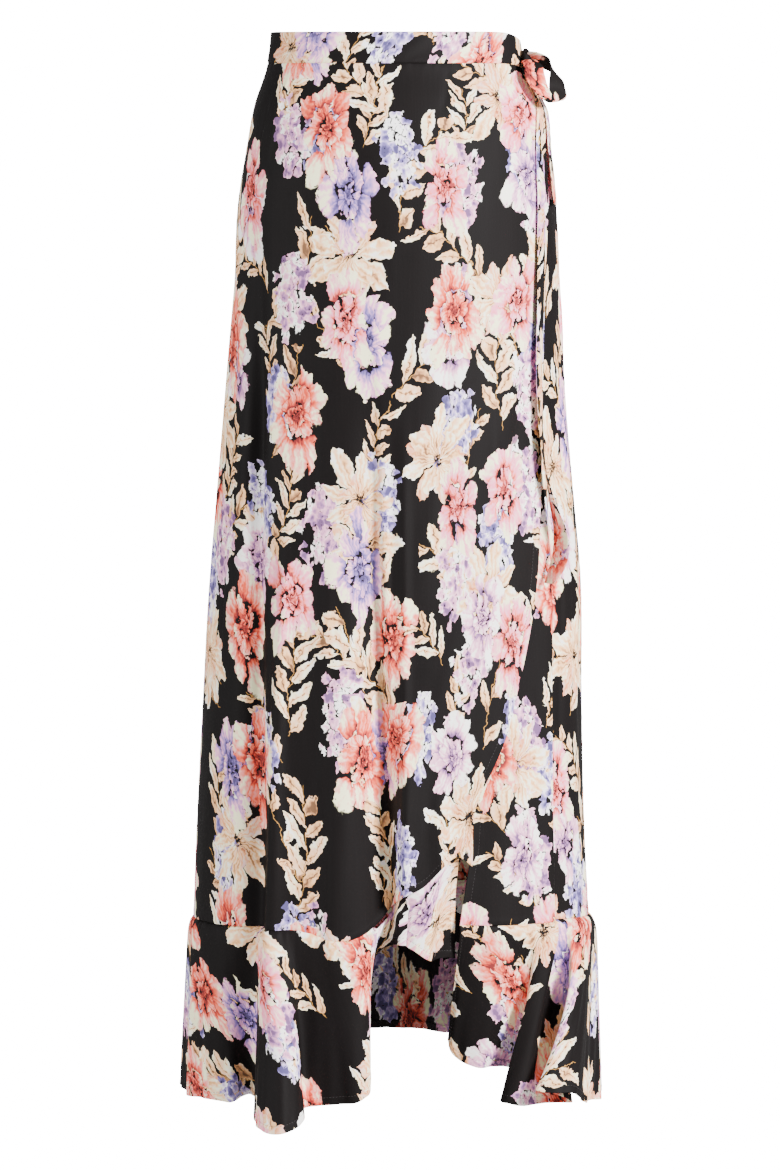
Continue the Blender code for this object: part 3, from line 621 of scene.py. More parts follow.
# Pleats of the cascade: x, and how far the cloth stands out there.
PLEATS = (
    (-8, 0), (-1, 1.0), (1.5, 1.6), (4.5, -11), (9, -12), (18, -6), (28, 1.8), (31, 2.0), (35, 0.0),
    (46, -7), (60, -10),
)
FLUTES = ((19.0, 0.6, 0.4), (33.0, 0.9, 3.3), (58.0, 1.1, 1.2))
GATHERS = ((6.7, 0.5, 0.9), (11.3, 0.6, 2.7), (18.9, 0.5, 5.1))
FLOUNCE_ROWS, SEAM_SAMPLES = 38, 6000


def dress_flounce(name, rows, top_point, seams, columns, place):
    """A flounce's cloth, and the lines of the topstitching along its hems."""
    tops, hems, stands, azimuth, rise = flounce_lines(rows, top_point, seams, columns)
    out = plan_normals(tops, seams)
    deep = np.linalg.norm(hems - tops, axis=1)
    levels = stations(np.zeros_like(deep), deep, FLOUNCE_ROWS, SEAM_STEPS, HEM_STEPS) / deep
    stand = ((1.0 - np.exp(-levels / PUFF_HEIGHT)) * (1.0 - levels) * stands[:, 0]
             + np.sin(np.pi * levels) * stands[:, 1])
    grid = tops + (hems - tops) * levels[..., None] + out * stand[..., None]
    down, along, top_along = measured(grid, 0), measured(hems, 0), measured(tops, 0)
    to_foot = down[-1:] - down
    round_it = measured(grid, 1)
    relief = 0.8 * ripple(along + 0.1 * down, FLUTES) * smooth(levels) ** 1.5
    relief = relief + 0.35 * ripple(top_along, GATHERS) * np.exp(-down / 14.0)
    relief = relief + seam_relief(down, round_it) + hem_relief(to_foot, along)
    sewn = (smooth((top_along - 9.0) / 8.0) if 0 not in seams else 1.0) * (
        smooth((CASCADE_START - 1.0 - azimuth) / 1.5) if -1 not in seams else 1.0)
    creases = crease_reach(azimuth, -tops[:, 2])
    relief = relief + sewn * creases * np.exp(-(down / 40.0) ** 2)
    if -1 not in seams:
        x, stand_out = np.array(PLEATS).T
        relief = relief + through(x, stand_out, np.clip(grid[..., 0], x[0], x[-1])) * (
            smooth((azimuth + 6.0) / 4.0) * smooth(levels * 2.2) * (1.0 - 0.45 * levels))
    hem = doubled(to_foot)
    for end, away in ((0, round_it), (-1, round_it[:, -1:] - round_it)):
        if end in seams:
            relief = relief * smooth(away / 3.0) + seam_relief(away, down) * 0.6
        else:
            relief = relief + hem_relief(away, down)
            hem = np.maximum(hem, doubled(away))
    grid = raised(grid, relief)
    thickness = cloth_thickness(hem)
    share = np.broadcast_to(0.04 + 0.96 * sewn, len(tops))
    inside, above = [], []
    for i, (up, back) in enumerate(ALLOWANCE):
        line = tops + rise * up - out * back + out * creases[:, None]
        inside.append(grid[0] + (line - grid[0]) * share[:, None])
        above.append(-(up + 0.4 * (4 - i)) * share / deep)
    whole = np.concatenate((inside, grid))
    flat = flounce_flat(tops, hems, np.concatenate((above, levels)), place)
    thickness = np.concatenate((np.repeat(thickness[:1], len(ALLOWANCE), axis=0), thickness))
    foot = grid.shape[0] - 1 - STITCH_STEP
    sides = [column for end, column in ((0, STITCH_STEP), (-1, -1 - STITCH_STEP)) if end not in seams]
    lines = [grid[foot, 3:-3]] + [grid[4:foot, column] for column in sides]
    return cloth_object(name, whole, thickness, flat), lines


# ---------------------------------------------------------------- waistband and ties
def dress_band():
    """A strip folded over at its top: up its inner side, over the fold and down its outer side."""
    start, end = edge_azimuth(UNDERLAP_EDGE, 0.0), edge_azimuth(OVERLAY_EDGE, 0.0) + 360.0
    azimuth = np.linspace(start, end, BAND_COLUMNS)[None, :]
    radius = 0.5 * BAND_WALL
    inner = [(drop, BAND_PROUD - BAND_WALL) for drop in np.linspace(BAND_FOOT, BAND_TOP + radius, 10)]
    fold = [(BAND_TOP + radius - radius * math.sin(turn), BAND_PROUD - radius - radius * math.cos(turn))
            for turn in np.linspace(0.0, math.pi, 9)[1:-1]]
    outer = [(drop, BAND_PROUD) for drop in (
        *np.linspace(BAND_TOP + radius, BAND_FOOT - 6.0, 12), *(BAND_FOOT - np.array(BAND_FOOT_ROWS)))]
    rows = inner + fold + outer
    drop, out = np.array(rows).T[:, :, None]
    grid = on_body(azimuth + 0.0 * drop, drop + 0.0 * azimuth, out)
    along = measured(grid, 1)
    outside = (np.arange(len(rows)) >= len(rows) - len(outer))[:, None]
    from_foot = BAND_FOOT - drop
    wave = 0.45 * ripple(along + 0.5 * drop, BAND_WAVES)
    pucker = 0.3 * ripple(along, PUCKERS) * np.exp(-from_foot / 5.0)
    relief = outside * (wave * np.sin(np.pi * np.clip(from_foot / 30.0, 0.0, 1.0)) + pucker
                        - 0.9 * np.exp(-from_foot / 0.7) + 0.25 * np.exp(-((from_foot - 4.0) / 2.4) ** 2))
    grid = raised(grid, relief)
    middle = along[:, BAND_COLUMNS // 2, None]
    flat = np.stack((along - middle + 90.0, 0.0 * along - measured(grid, 0)[:, :1] + 420.0), -1)
    return cloth_object("band_strip", grid, BAND_CLOTH, flat)


def facing_out(grid, middles):
    """A grid whose columns close on themselves, in the order that turns its faces outwards."""
    return grid[:, ::-1] if ((grid - middles) * surface_normals(grid, True)).sum() < 0.0 else grid


def round_again(grid):
    """A closed grid with its first column once more at its end."""
    return np.concatenate((grid, grid[:, :1]), axis=1)


def flat_tube(name, middles, widths, normals, thickness, relief, place):
    """A tie: cloth sewn into a tube and pressed flat, along a line of middles."""
    turn = np.linspace(0.0, 2.0 * np.pi, TIE_COLUMNS, endpoint=False)
    side = np.sign(np.cos(turn)) * np.abs(np.cos(turn)) ** 0.8
    face = np.sign(np.sin(turn)) * np.abs(np.sin(turn)) ** 0.75
    half = 0.5 * np.broadcast_to(thickness, len(middles))[:, None, None]
    grid = (middles[:, None] + 0.5 * widths[:, None] * side[None, :, None]
            + normals[:, None] * half * face[None, :, None])
    grid = facing_out(grid, middles[:, None])
    grid = raised(grid, relief(measured(grid, 0), turn[None, :]), True)
    whole = round_again(grid)
    round_it = measured(whole, 1)
    flat = np.stack((round_it + place[0], place[1] - measured(whole, 0)[:, :1] + 0.0 * round_it), -1)
    return cloth_object(name, grid, TIE_CLOTH, flat, closed=True)


def dress_tail(name, rows, place):
    """An end of the ties, which hangs down from the knot over the skirt."""
    table = np.array(rows, float)
    count = 2 * int(table[-1, 0] / 5.0)
    length = np.interp(np.linspace(0, 1, count), np.linspace(0, 1, len(rows)), table[:, 0])
    azimuth, out, width, turn = through(table[:, 0], table[:, 1:], length).T
    turn = np.radians(turn)
    across = np.column_stack((-np.sin(turn), -np.cos(turn), 0.0 * turn))
    middles = on_body(azimuth, length, out) + across * (0.5 * width)[:, None]
    normals = np.column_stack((-np.cos(turn), np.sin(turn), 0.0 * turn))
    thick = TIE_THICKNESS + 1.6 * np.exp(-(length - length[0]) / 16.0)
    thick *= 1.0 - 0.55 * smooth((length - (length[-1] - 5.0)) / 5.0)

    def relief(down, around):
        gathers = 0.35 * np.exp(-down / 45.0) * np.sin(3.0 * around) * smooth(down / 4.0)
        return gathers + 0.16 * ripple(down + 9.0 * np.cos(around), TAIL_WAVES)

    return flat_tube(name, middles, across * width[:, None], normals, thick, relief, place)


def dress_loop(name, rows, place):
    """The half bow's loop, which leaves the knot, hangs open and goes back into it."""
    table = np.array(rows, float)
    way = through(np.arange(len(table)), table, np.linspace(0.0, len(table) - 1.0, 130))
    middles, width = way[:, :3], way[:, 3:]
    normals = unit(np.cross(width, np.gradient(middles, axis=0)))

    def relief(down, around):
        ends = np.exp(-down / 12.0) + np.exp(-(down[-1:] - down) / 12.0)
        return 0.3 * ends * np.sin(3.0 * around) + 0.16 * ripple(down + 7.0 * np.cos(around), LOOP_WAVES)

    return flat_tube(name, middles, width, normals, TIE_THICKNESS, relief, place)


def dress_knot(name, size, place):
    """The knot: a lump against the band, with the folds of the tie drawn round it."""
    side = unit(on_body(KNOT_AZIMUTH + 2, KNOT_DROP) - on_body(KNOT_AZIMUTH - 2, KNOT_DROP))
    up = on_body(KNOT_AZIMUTH, KNOT_DROP - 8) - on_body(KNOT_AZIMUTH, KNOT_DROP + 8)
    up = unit(up - side * np.dot(up, side))
    axes = np.array((np.cross(side, up), side, up)) * np.array(size)[:, None]
    centre = on_body(KNOT_AZIMUTH, KNOT_DROP, BAND_PROUD) + axes[0] * (1.0 + SEAM_GAP / size[0])
    turn = np.linspace(0.03, 0.97, 54)[:, None] * math.pi
    around = np.linspace(0.0, 2.0 * math.pi, 64, endpoint=False)[None, :]
    swell = 1.0 - 0.12 * np.cos(2.0 * turn) ** 2
    wraps = 0.075 * np.abs(np.sin(3.2 * turn + 0.9 * np.sin(around + 0.6))) ** 0.6 - 0.05
    waist = (swell + wraps * np.sin(turn)) * np.sin(turn)
    ball = np.stack((waist * np.cos(around), waist * np.sin(around), np.cos(turn) + 0.0 * around), -1)
    grid = facing_out(centre + ball @ axes, centre)
    whole = round_again(grid)
    flat = np.stack((measured(whole, 1) + place[0], place[1] - measured(whole, 0)), -1)
    return cloth_object(name, grid, KNOT_CLOTH * np.sin(turn) ** 0.8 + 0.0 * around, flat, closed=True)


# ---------------------------------------------------------------- node trees in plain sums
def connect(value, socket):
    """Feeds a socket from a wire, or sets its own value."""
    if isinstance(value, Wire):
        value.tree.links.new(value.socket, socket)
    else:
        socket.default_value = value


def connect_all(sockets, values):
    for key, value in values.items():
        connect(value, sockets[key])


def add_node(tree, kind, settings, *values, **named):
    """A node with its settings, and its inputs by their order or their name.

    A kind that doesn't name its family is a shader node.
    """
    node = tree.nodes.new(kind if "Node" in kind else "ShaderNode" + kind)
    for key, value in settings.items():
        setattr(node, key, value)
    for socket, value in zip(node.inputs, values):
        connect(value, socket)
    connect_all(node.inputs, named)
    return node


def put(tree, kind, settings, *values, out=0, **named):
    """A new node, as a wire from one of its outputs."""
    return Wire(tree, add_node(tree, kind, settings, *values, **named).outputs[out])


class Wire:
    """An output inside a shader tree. Sums with it add the nodes that work them out."""

    def __init__(self, tree, socket):
        self.tree, self.socket = tree, socket

    def math(self, operation, *others, clamp=False):
        return put(self.tree, "Math", {"operation": operation, "use_clamp": clamp}, self, *others)

    def vector(self, operation, *others, out=0):
        return put(self.tree, "VectorMath", {"operation": operation}, self, *others, out=out)

    __add__ = partialmethod(math, "ADD")
    __sub__ = partialmethod(math, "SUBTRACT")
    __mul__ = partialmethod(math, "MULTIPLY")
    __truediv__ = partialmethod(math, "DIVIDE")
    __pow__ = partialmethod(math, "POWER")
    size = partialmethod(math, "ABSOLUTE")
    clamped = partialmethod(math, "ADD", 0.0, clamp=True)
    length = partialmethod(vector, "LENGTH", out=1)

    def below(self, limit, soft):
        """1 where this is below a limit and 0 above it, with a soft edge."""
        return put(self.tree, "MapRange", {"interpolation_type": "SMOOTHSTEP"},
                   self, limit - soft, limit + soft, 1.0, 0.0)

    def parts(self, kind="XYZ"):
        """The three numbers of a place or of a colour."""
        return [Wire(self.tree, socket) for socket in add_node(self.tree, "Separate" + kind, {}, self).outputs]


def blend(share, low, high):
    """The colour low where share is 0 and high where it is 1."""
    tree = next(value.tree for value in (share, low, high) if isinstance(value, Wire))
    node = add_node(tree, "Mix", {"data_type": "RGBA"})
    connect_all(node.inputs, {0: share, 6: low, 7: high})
    return Wire(tree, node.outputs[2])


def between(share, low, high):
    """The number low where share is 0 and high where it is 1."""
    return (high - low) * share + low


def paint(code):
    """A colour from its hex code, in the linear values that shaders use."""
    parts = [int(code[i:i + 2], 16) / 255.0 for i in (0, 2, 4)]
    return (*(c / 12.92 if c <= 0.04045 else ((c + 0.055) / 1.055) ** 2.4 for c in parts), 1.0)


def ramp(value, stops):
    """The colour of a palette at a value from 0 to 1."""
    node = add_node(value.tree, "ValToRGB", {}, value)
    marks = node.color_ramp.elements
    marks[1].position = 1.0
    for k, (place, code) in enumerate(stops):
        mark = marks[0] if k == 0 else marks[-1] if k == len(stops) - 1 else marks.new(place)
        mark.position, mark.color = place, paint(code)
    return Wire(value.tree, node.outputs[0])


def noise(place, scale, detail=2.0, rough=0.5, out="Fac"):
    return put(place.tree, "TexNoise", {"noise_dimensions": "2D"}, out=out,
               Vector=place, Scale=scale, Detail=detail, Roughness=rough)


def joined(x, y, z=0.0):
    return put(x.tree, "CombineXYZ", {}, x, y, z)


def chance_at(place, dimensions):
    return put(place.tree, "TexWhiteNoise", {"noise_dimensions": dimensions}, out="Value", Vector=place)


def scattered(place, spacing, randomness):
    """Cells round scattered points: where the nearest is, how far, and its three random numbers."""
    node = add_node(place.tree, "TexVoronoi", {"voronoi_dimensions": "2D"},
                    Vector=place, Scale=1.0 / spacing, Randomness=randomness)
    point, far, colour = (Wire(place.tree, node.outputs[key]) for key in ("Position", "Distance", "Color"))
    return point, far, colour.parts("Color")


def cells(place, spacing, randomness, seed):
    """Scattered places: the way to a point from the nearest, and three random numbers of its own."""
    moved = place.vector("ADD", (seed * 0.137, seed * 0.291, 0.0))
    point, _, luck = scattered(moved, spacing, randomness)
    return moved.vector("SUBTRACT", point), luck


def turned(place, angle):
    return put(place.tree, "VectorRotate", {"rotation_type": "Z_AXIS"}, Vector=place, Angle=angle)


def polar(place):
    x, y, _ = place.parts()
    return place.length(), y.math("ARCTAN2", x)


def new_group(name, inputs, outputs, kind="ShaderNodeTree", **defaults):
    """A node group: its tree, the wires from its inputs, and the sockets of its outputs."""
    tree = bpy.data.node_groups.new(name, kind)
    for way, sockets in (("INPUT", inputs), ("OUTPUT", outputs)):
        for label, family in sockets.items():
            socket = tree.interface.new_socket(label, in_out=way, socket_type="NodeSocket" + family)
            if way == "INPUT" and label in defaults:
                socket.default_value = defaults[label]
    start, end = tree.nodes.new("NodeGroupInput"), tree.nodes.new("NodeGroupOutput")
    return tree, [Wire(tree, start.outputs[label]) for label in inputs], end.inputs


# ---------------------------------------------------------------- the print
def palette(places, codes):
    """Colours from deep to pale, each with its place on the way."""
    return tuple(zip(places, codes.split()))


CORAL = palette((0.0, 0.14, 0.32, 0.5, 0.68, 0.84, 1.0), "762c2b aa3631 cf4e39 e76c53 ee8d87 f0bba6 f0edc2")
ROSE = palette((0.0, 0.16, 0.34, 0.54, 0.74, 1.0), "943738 c6564a ef7771 ee88a5 efa7b3 f0ecc3")
LILAC = palette((0.0, 0.2, 0.4, 0.58, 0.78, 1.0), "4e436a 695992 9177b3 ba8cba eda6ca f0ebc3")
CREAM = palette((0.0, 0.16, 0.38, 0.6, 0.8, 1.0), "705039 b27e59 eab37b efc3a2 f0e6bd f0ebe6")
FLORET = palette((0.0, 0.18, 0.38, 0.62, 0.85, 1.0), "4e476f 6f6298 9286ba cab3da eeeced f0eeed")
MAUVE = palette((0.0, 0.18, 0.4, 0.66, 0.85, 1.0), "6f5075 9e719e d293b3 edb4ca f0ece3 f0eeec")
STEM, BLUSH = "a97c44", "c83120"
FULL_TURN = 2.0 * math.pi


def belly(share, slim):
    """The half width of a petal or leaf along its length, from 0 to 1 and back."""
    return (share * math.pi).math("SINE").math("MAXIMUM", 0.0) ** slim


def star(away, luck, size, count, turn, seed, wash):
    """A ring of pointed petals round a point, each of its own length.

    Gives whether a point is in a petal, how far along it and across it the point is, a random
    number for the petal, and streaks that run along it.
    """
    length, angle = polar(turned(away, luck[0] * 1.4 + turn))
    sector = angle * (count / FULL_TURN)
    index = (sector + 0.5).math("FLOOR")
    across = (sector - index) * 2.0
    # the two halves at the back of the turn are one petal
    key = (index + count).math("MODULO", float(count))
    chance = chance_at(joined(key * 1.37 + seed, luck[1] * 71.0), "2D")
    along = length / ((chance * 0.45 + 0.60) * size)
    streak = (across * 11.0 + chance * 53.0 + wash * 9.0).math("SINE") * 0.5 + 0.5
    off = across.size() / (belly(along, 0.95) * 0.90 + 0.0001)
    return off.below(1.0, 0.05) * along.below(1.0, 0.012), along, off, chance, streak


def bloom(away, luck, size, wash, ragged, pale):
    """A full bloom of many petals, which get smaller towards its heart.

    Petals are the cells round scattered points, where one way is the turn round the heart and the
    other is the logarithm of the distance from it. Gives the bloom's mask, its tone from deep to
    pale, and where the ground shows between its petals.
    """
    heart = away.vector("SUBTRACT", (0.0, size * 0.26, 0.0))
    length, angle = polar(turned(heart, luck[0] * 1.6 + 0.8))
    turn = angle * (BLOOM_PETALS / FULL_TURN) + luck[1] * 40.0
    ring = (length / size).math("LOGARITHM", math.e) * BLOOM_RINGS
    point, far, (chance, _, _) = scattered(joined(turn, ring), 1.0, 0.72)
    middle, seat, _ = point.parts()
    edge = (away.length() / size).math("LOGARITHM", math.e) * BLOOM_RINGS
    outer = seat.below(-0.30, 0.001) * far.below(0.56, 0.03)
    inner = seat.below(-1.15, 0.001)
    mask = outer.math("MAXIMUM", inner) * edge.below(0.18, 0.01)
    streak = ((turn - middle) * 19.0 + chance * 53.0 + wash * 8.0).math("SINE")
    tone = ((ring - seat) * 0.86 + seat * 0.20 + streak * 0.12 + (wash - 0.5) * 1.2
            + (chance - 0.5) * 0.36 + far.below(0.36, 0.22) * 0.30 + pale)
    return mask, tone.clamped(), far + ragged * 0.7 - seat * 0.02


def leaf(along, across, length, width, ragged, wash):
    """A pointed leaf whose base is the origin: in or out, and its tone, darker at its rib."""
    share = along / length
    off = across.size() / (belly(share, 0.8) * width + 0.00001)
    inside = off.below(1.0, 0.08) * share.below(1.0, 0.01) * (share * -1.0).below(0.0, 0.01)
    rib = off.below(0.10, 0.08) * (ragged * 2.2 - 0.55).clamped()
    tone = off * 0.30 + (wash - 0.5) * 1.4 + share * 0.25 + 0.30 - rib * 0.9
    return inside, tone.clamped()


def sprig(away, luck, ragged, wash, size, step, length, width):
    """A bent stem with leaves on both sides by turns."""
    x, y, _ = turned(away, luck[0] * 2.2 - 2.7).parts()
    y = y + (x * x) * ((luck[1] - 0.5) * 16.0)
    lower = y.below(0.0, 0.000001)
    x_side, height = x + lower * (0.5 * step), y.size()
    cell = (x_side / step).math("FLOOR")
    lean = 0.72                 # of a leaf from the stem
    mask = tone = None
    for back in (0.0, 1.0):
        base = (cell - back) * step
        over = x_side - base
        chance = chance_at(joined(cell - back, lower * 3.0, luck[2] * 37.0), "3D")
        own = (chance * 0.5 + 0.6) * length
        along = over * math.cos(lean) + height * math.sin(lean)
        across = height * math.cos(lean) - over * math.sin(lean)
        inside, shade = leaf(along, across, own, width, ragged, wash + (chance - 0.5) * 0.4)
        inside = inside * base.size().below(size, 0.0001) * chance.below(0.865, 0.00002)
        mask = inside if mask is None else mask.math("MAXIMUM", inside)
        tone = shade if tone is None else between(inside, tone, shade)
    stem = height.below(0.00035, 0.0002) * x.size().below(size + 0.6 * step, 0.0005)
    return mask, tone, stem


# Spacing, seed and size of each kind of flower, in metres, then its own form and colours.
SPRIGS = ((0.092, 3.0, 0.028, 0.0135, 0.0260, 0.0034), (0.112, 11.0, 0.038, 0.0180, 0.0350, 0.0050))
CLUSTERS = ((0.130, 23.0, 0.026, FLORET), (0.140, 37.0, 0.028, MAUVE))
FLORET_SPACING, FLORET_EYE = 0.0064, 0.0006
OPEN_SPACING, OPEN_SEED, OPEN_HEART = 0.132, 51.0, 0.0046
OPEN_FLOWERS = ((9, 0.044, 0.4), (7, 0.029, 2.6))       # petals, size and turn
BLOOMS = ((0.146, 67.0, 0.036, LILAC, MAUVE, 0.55), (0.116, 83.0, 0.039, CORAL, ROSE, 0.54))
BLOOM_PETALS, BLOOM_RINGS = 10.0, 1.25


def floral_print():
    """Loose watercolour flowers on a dark ground. The place is the one on the cut cloth, in metres."""
    tree, (place, ground), outputs = new_group(
        "floral print", {"Place": "Vector", "Ground": "Color"}, {"Color": "Color", "Ink": "Float"})
    wobble = noise(place, 48.0, 3.0, 0.68, "Color").vector("SUBTRACT", (0.5, 0.5, 0.5))
    bent = place.vector("ADD", wobble.vector("MULTIPLY", (0.013, 0.017, 0.0)))
    bent = bent.vector("MULTIPLY", (1.0, 0.78, 0.0))
    ragged = noise(place, 300.0)
    wash = noise(place.vector("MULTIPLY", (1.0, 0.55, 1.0)), 80.0, 3.0, 0.65)
    colour, ink = ground, None

    def lay(mask, over):
        nonlocal colour, ink
        colour = blend(mask, colour, over)
        ink = mask if ink is None else ink.math("MAXIMUM", mask)

    for spacing, seed, size, *form in SPRIGS:
        away, luck = cells(bent, spacing, 0.85, seed)
        inside, tone, stem = sprig(away, luck, ragged, wash, size, *form)
        lay(stem, paint(STEM))
        lay(inside, ramp(tone, CREAM))
    for spacing, seed, size, tones in CLUSTERS:
        tiny, tiny_luck = cells(bent, FLORET_SPACING, 0.9, seed)
        away, luck = cells(bent.vector("SUBTRACT", tiny), spacing, 0.75, seed + 2.0)
        far = turned(away, (luck[0] - 0.5) * 0.9).vector("MULTIPLY", (1.30, 0.78, 1.0)).length()
        inside = far.below((tiny_luck[1] * 0.42 + 0.72) * size, 0.00001)
        length, angle = polar(turned(tiny, tiny_luck[0] * FULL_TURN))
        petal = (angle * 2.0).math("COSINE").size() ** 0.5
        floret = (length / (petal * 0.0026 + 0.0018)).below(1.0, 0.15)
        eye = length.below(FLORET_EYE, 0.0003) * tiny_luck[1].below(0.45, 0.01)
        tone = length * 130.0 + (tiny_luck[2] - 0.5) * 0.95 + (wash - 0.5) * 1.6 + 0.20
        lay(inside * floret.math("MAXIMUM", tiny_luck[2].below(0.42, 0.0005)), ramp(tone, tones))
        colour = blend(inside * eye, colour, ground)
    away, luck = cells(bent, OPEN_SPACING, 0.8, OPEN_SEED)
    for number, (count, size, turn) in enumerate(OPEN_FLOWERS):
        inside, along, off, chance, streak = star(away, luck, size, count, turn, 40.0 + number, wash)
        blush = chance.below(0.45, 0.05) * (along * 1.2 - 0.30).clamped()
        tone = off * 0.20 + (streak - 0.5) * 0.42 + (wash - 0.5) * 1.3 + along * 0.55 + 0.14
        lay(inside, blend(blush * 0.6, ramp(tone, CREAM), paint(BLUSH)))
    heart = away.length().below(OPEN_HEART, 0.0010) * ((ragged - 0.42) * 9.0).clamped()
    colour = blend(heart, colour, ground)
    # the cool blooms lie under the warm ones
    for spacing, seed, size, first, second, pale in BLOOMS:
        away, luck = cells(bent, spacing, 0.66, seed)
        away = away.vector("MULTIPLY", joined(luck[1] * -0.35 + 1.45, luck[2] * -0.25 + 1.00))
        mask, tone, gap = bloom(away, luck, size, wash, ragged, pale)
        lay(mask, blend(luck[2].below(0.42, 0.02), ramp(tone, first), ramp(tone, second)))
        colour = blend((gap * -1.0).below(-0.99, 0.03) * mask, colour, ground)
    connect_all(outputs, {"Color": colour, "Ink": ink})
    return tree


CRINKLE_SCALE, SLUB_SCALE = 900.0, 420.0


def crepe_weave():
    """The height of a crinkled crepe, with a thicker thread here and there along the grain."""
    tree, (place,), outputs = new_group(
        "crepe weave", {"Place": "Vector"}, {"Height": "Float", "Slub": "Float"})
    crinkle = noise(place.vector("MULTIPLY", (1.0, 0.45, 1.0)), CRINKLE_SCALE)
    slub = noise(place.vector("MULTIPLY", (1.0, 0.035, 1.0)), SLUB_SCALE)
    connect_all(outputs, {"Height": crinkle * 0.6 + slub * 0.4, "Slub": slub})
    return tree


def new_finish(name):
    """A new material, its tree and its shader's sockets."""
    made = bpy.data.materials.new(name)
    made.use_nodes = True
    return made, made.node_tree, made.node_tree.nodes["Principled BSDF"].inputs


def cloth_material(name, print_tree, weave_tree, colours, wrong_side=False):
    """The printed cloth. Its wrong side has the same print, weaker, where the dye has come through."""
    made, tree, shader = new_finish(name)
    place = put(tree, "UVMap", {"uv_map": "cloth"})
    dyed = add_node(tree, "Group", {"node_tree": print_tree}, Place=place, Ground=tuple(colours.ground))
    weave = add_node(tree, "Group", {"node_tree": weave_tree}, Place=place)
    colour, ink = (Wire(tree, dyed.outputs[key]) for key in ("Color", "Ink"))
    height, slub = (Wire(tree, weave.outputs[key]) for key in ("Height", "Slub"))
    colour = blend((slub - 0.52) * 0.06, colour, tuple(colours.thread))
    if wrong_side:
        colour = blend(0.30, colour, tuple(colours.wrong_side))
    bump = put(tree, "Bump", {}, Strength=0.35, Distance=0.0004, Height=height)
    connect_all(shader, {"Base Color": colour, "Normal": bump, "Roughness": ink * 0.06 + 0.66,
                         "Specular IOR Level": 0.07})
    return made


def skirt_cloth():
    """The two faces of the printed cloth, built on first use."""
    names = ("printed crepe", "printed crepe, wrong side")
    if not bpy.data.materials.get(names[0]):
        trees = floral_print(), crepe_weave()
        for name in names:
            cloth_material(name, *trees, bpy.context.scene.skirt_colours, name != names[0])
    return [bpy.data.materials[name] for name in names]


# ---------------------------------------------------------------- stitches
STITCH_SEED = 4
HALF_STITCH = (0.46, 0.54)      # from the shortest to the longest half, as a share of a stitch


def stitch_tree():
    """Short threads along lines, one after the other."""
    tree, (lines, pitch, stitch, thread, seed, finish), outputs = new_group(
        "stitch row", {"Geometry": "Geometry", "Pitch": "Float", "Stitch": "Float", "Thread": "Float",
                       "Seed": "Int", "Finish": "Material"},
        {"Geometry": "Geometry"}, "GeometryNodeTree",
        Pitch=0.0031, Stitch=0.0023, Thread=0.0002, Seed=STITCH_SEED)
    curve = put(tree, "GeometryNodeMeshToCurve", {}, lines)
    even = put(tree, "GeometryNodeResampleCurve", {"mode": "LENGTH"}, Curve=curve, Length=pitch)
    ball = put(tree, "GeometryNodeMeshUVSphere", {}, Segments=6, Rings=4, Radius=1.0)
    tangent = put(tree, "GeometryNodeInputTangent", {})
    aim = put(tree, "FunctionNodeAlignRotationToVector", {"axis": "Z"}, Vector=tangent)
    chance = add_node(tree, "FunctionNodeRandomValue", {"data_type": "FLOAT"}, Seed=seed)
    connect_all(chance.inputs, {2: HALF_STITCH[0], 3: HALF_STITCH[1]})
    size = joined(thread, thread, Wire(tree, chance.outputs[1]) * stitch)
    each = put(tree, "GeometryNodeInstanceOnPoints", {}, Points=even, Instance=ball, Rotation=aim, Scale=size)
    real = put(tree, "GeometryNodeRealizeInstances", {}, each)
    soft = put(tree, "GeometryNodeSetShadeSmooth", {}, Geometry=real)
    connect(put(tree, "GeometryNodeSetMaterial", {}, Geometry=soft, Material=finish), outputs["Geometry"])
    return tree


def thread_material():
    colours = bpy.context.scene.skirt_colours
    made, tree, shader = new_finish("sewing thread")
    # Painted shade: the wave darkens the thread's colour in bands towards the print's ground, where the
    # grooves of its twist would lie in shadow.
    painted_twist_shade = put(tree, "TexWave", {}, out="Fac", Vector=put(tree, "TexCoord", {}, out="Object"), Scale=1400.0)
    connect_all(shader, {"Base Color": blend(painted_twist_shade, tuple(colours.thread), tuple(colours.ground)),
                         "Roughness": 0.6})
    return made


def stitch_rows(name, lines):
    """Stitches along lines of points, as one plain mesh."""
    points, edges = [], []
    for line in lines:
        start = len(points)
        points += [tuple(p) for p in np.asarray(line) * MM]
        edges += [(k, k + 1) for k in range(start, len(points) - 1)]
    mesh = bpy.data.meshes.new(name)
    mesh.from_pydata(points, edges, [])
    guide = new_object(name + "_guide", mesh)
    tree = bpy.data.node_groups.get("stitch row") or stitch_tree()
    modifier = guide.modifiers.new("stitches", "NODES")
    modifier.node_group = tree
    sizes = bpy.context.scene.skirt_sizes
    values = {"Pitch": sizes.stitch_pitch, "Stitch": sizes.stitch, "Thread": sizes.thread, "Seed": STITCH_SEED,
              "Finish": bpy.data.materials.get("sewing thread") or thread_material()}
    for item in tree.interface.items_tree:
        if item.in_out == "INPUT" and item.name in values:
            modifier[item.identifier] = values[item.name]
    done = bpy.data.meshes.new_from_object(guide.evaluated_get(bpy.context.evaluated_depsgraph_get()))
    bpy.data.objects.remove(guide, do_unlink=True)
    return new_object(name, done)


# ---------------------------------------------------------------- settings of the add-on
def length_setting(name, description, default):
    return bpy.props.FloatProperty(name=name, description=description, default=default, min=0.0,
                                   precision=5, unit="LENGTH")


def colour_setting(name, description, code):
    return bpy.props.FloatVectorProperty(name=name, description=description, default=paint(code), size=4,
                                         min=0.0, max=1.0, subtype="COLOR")


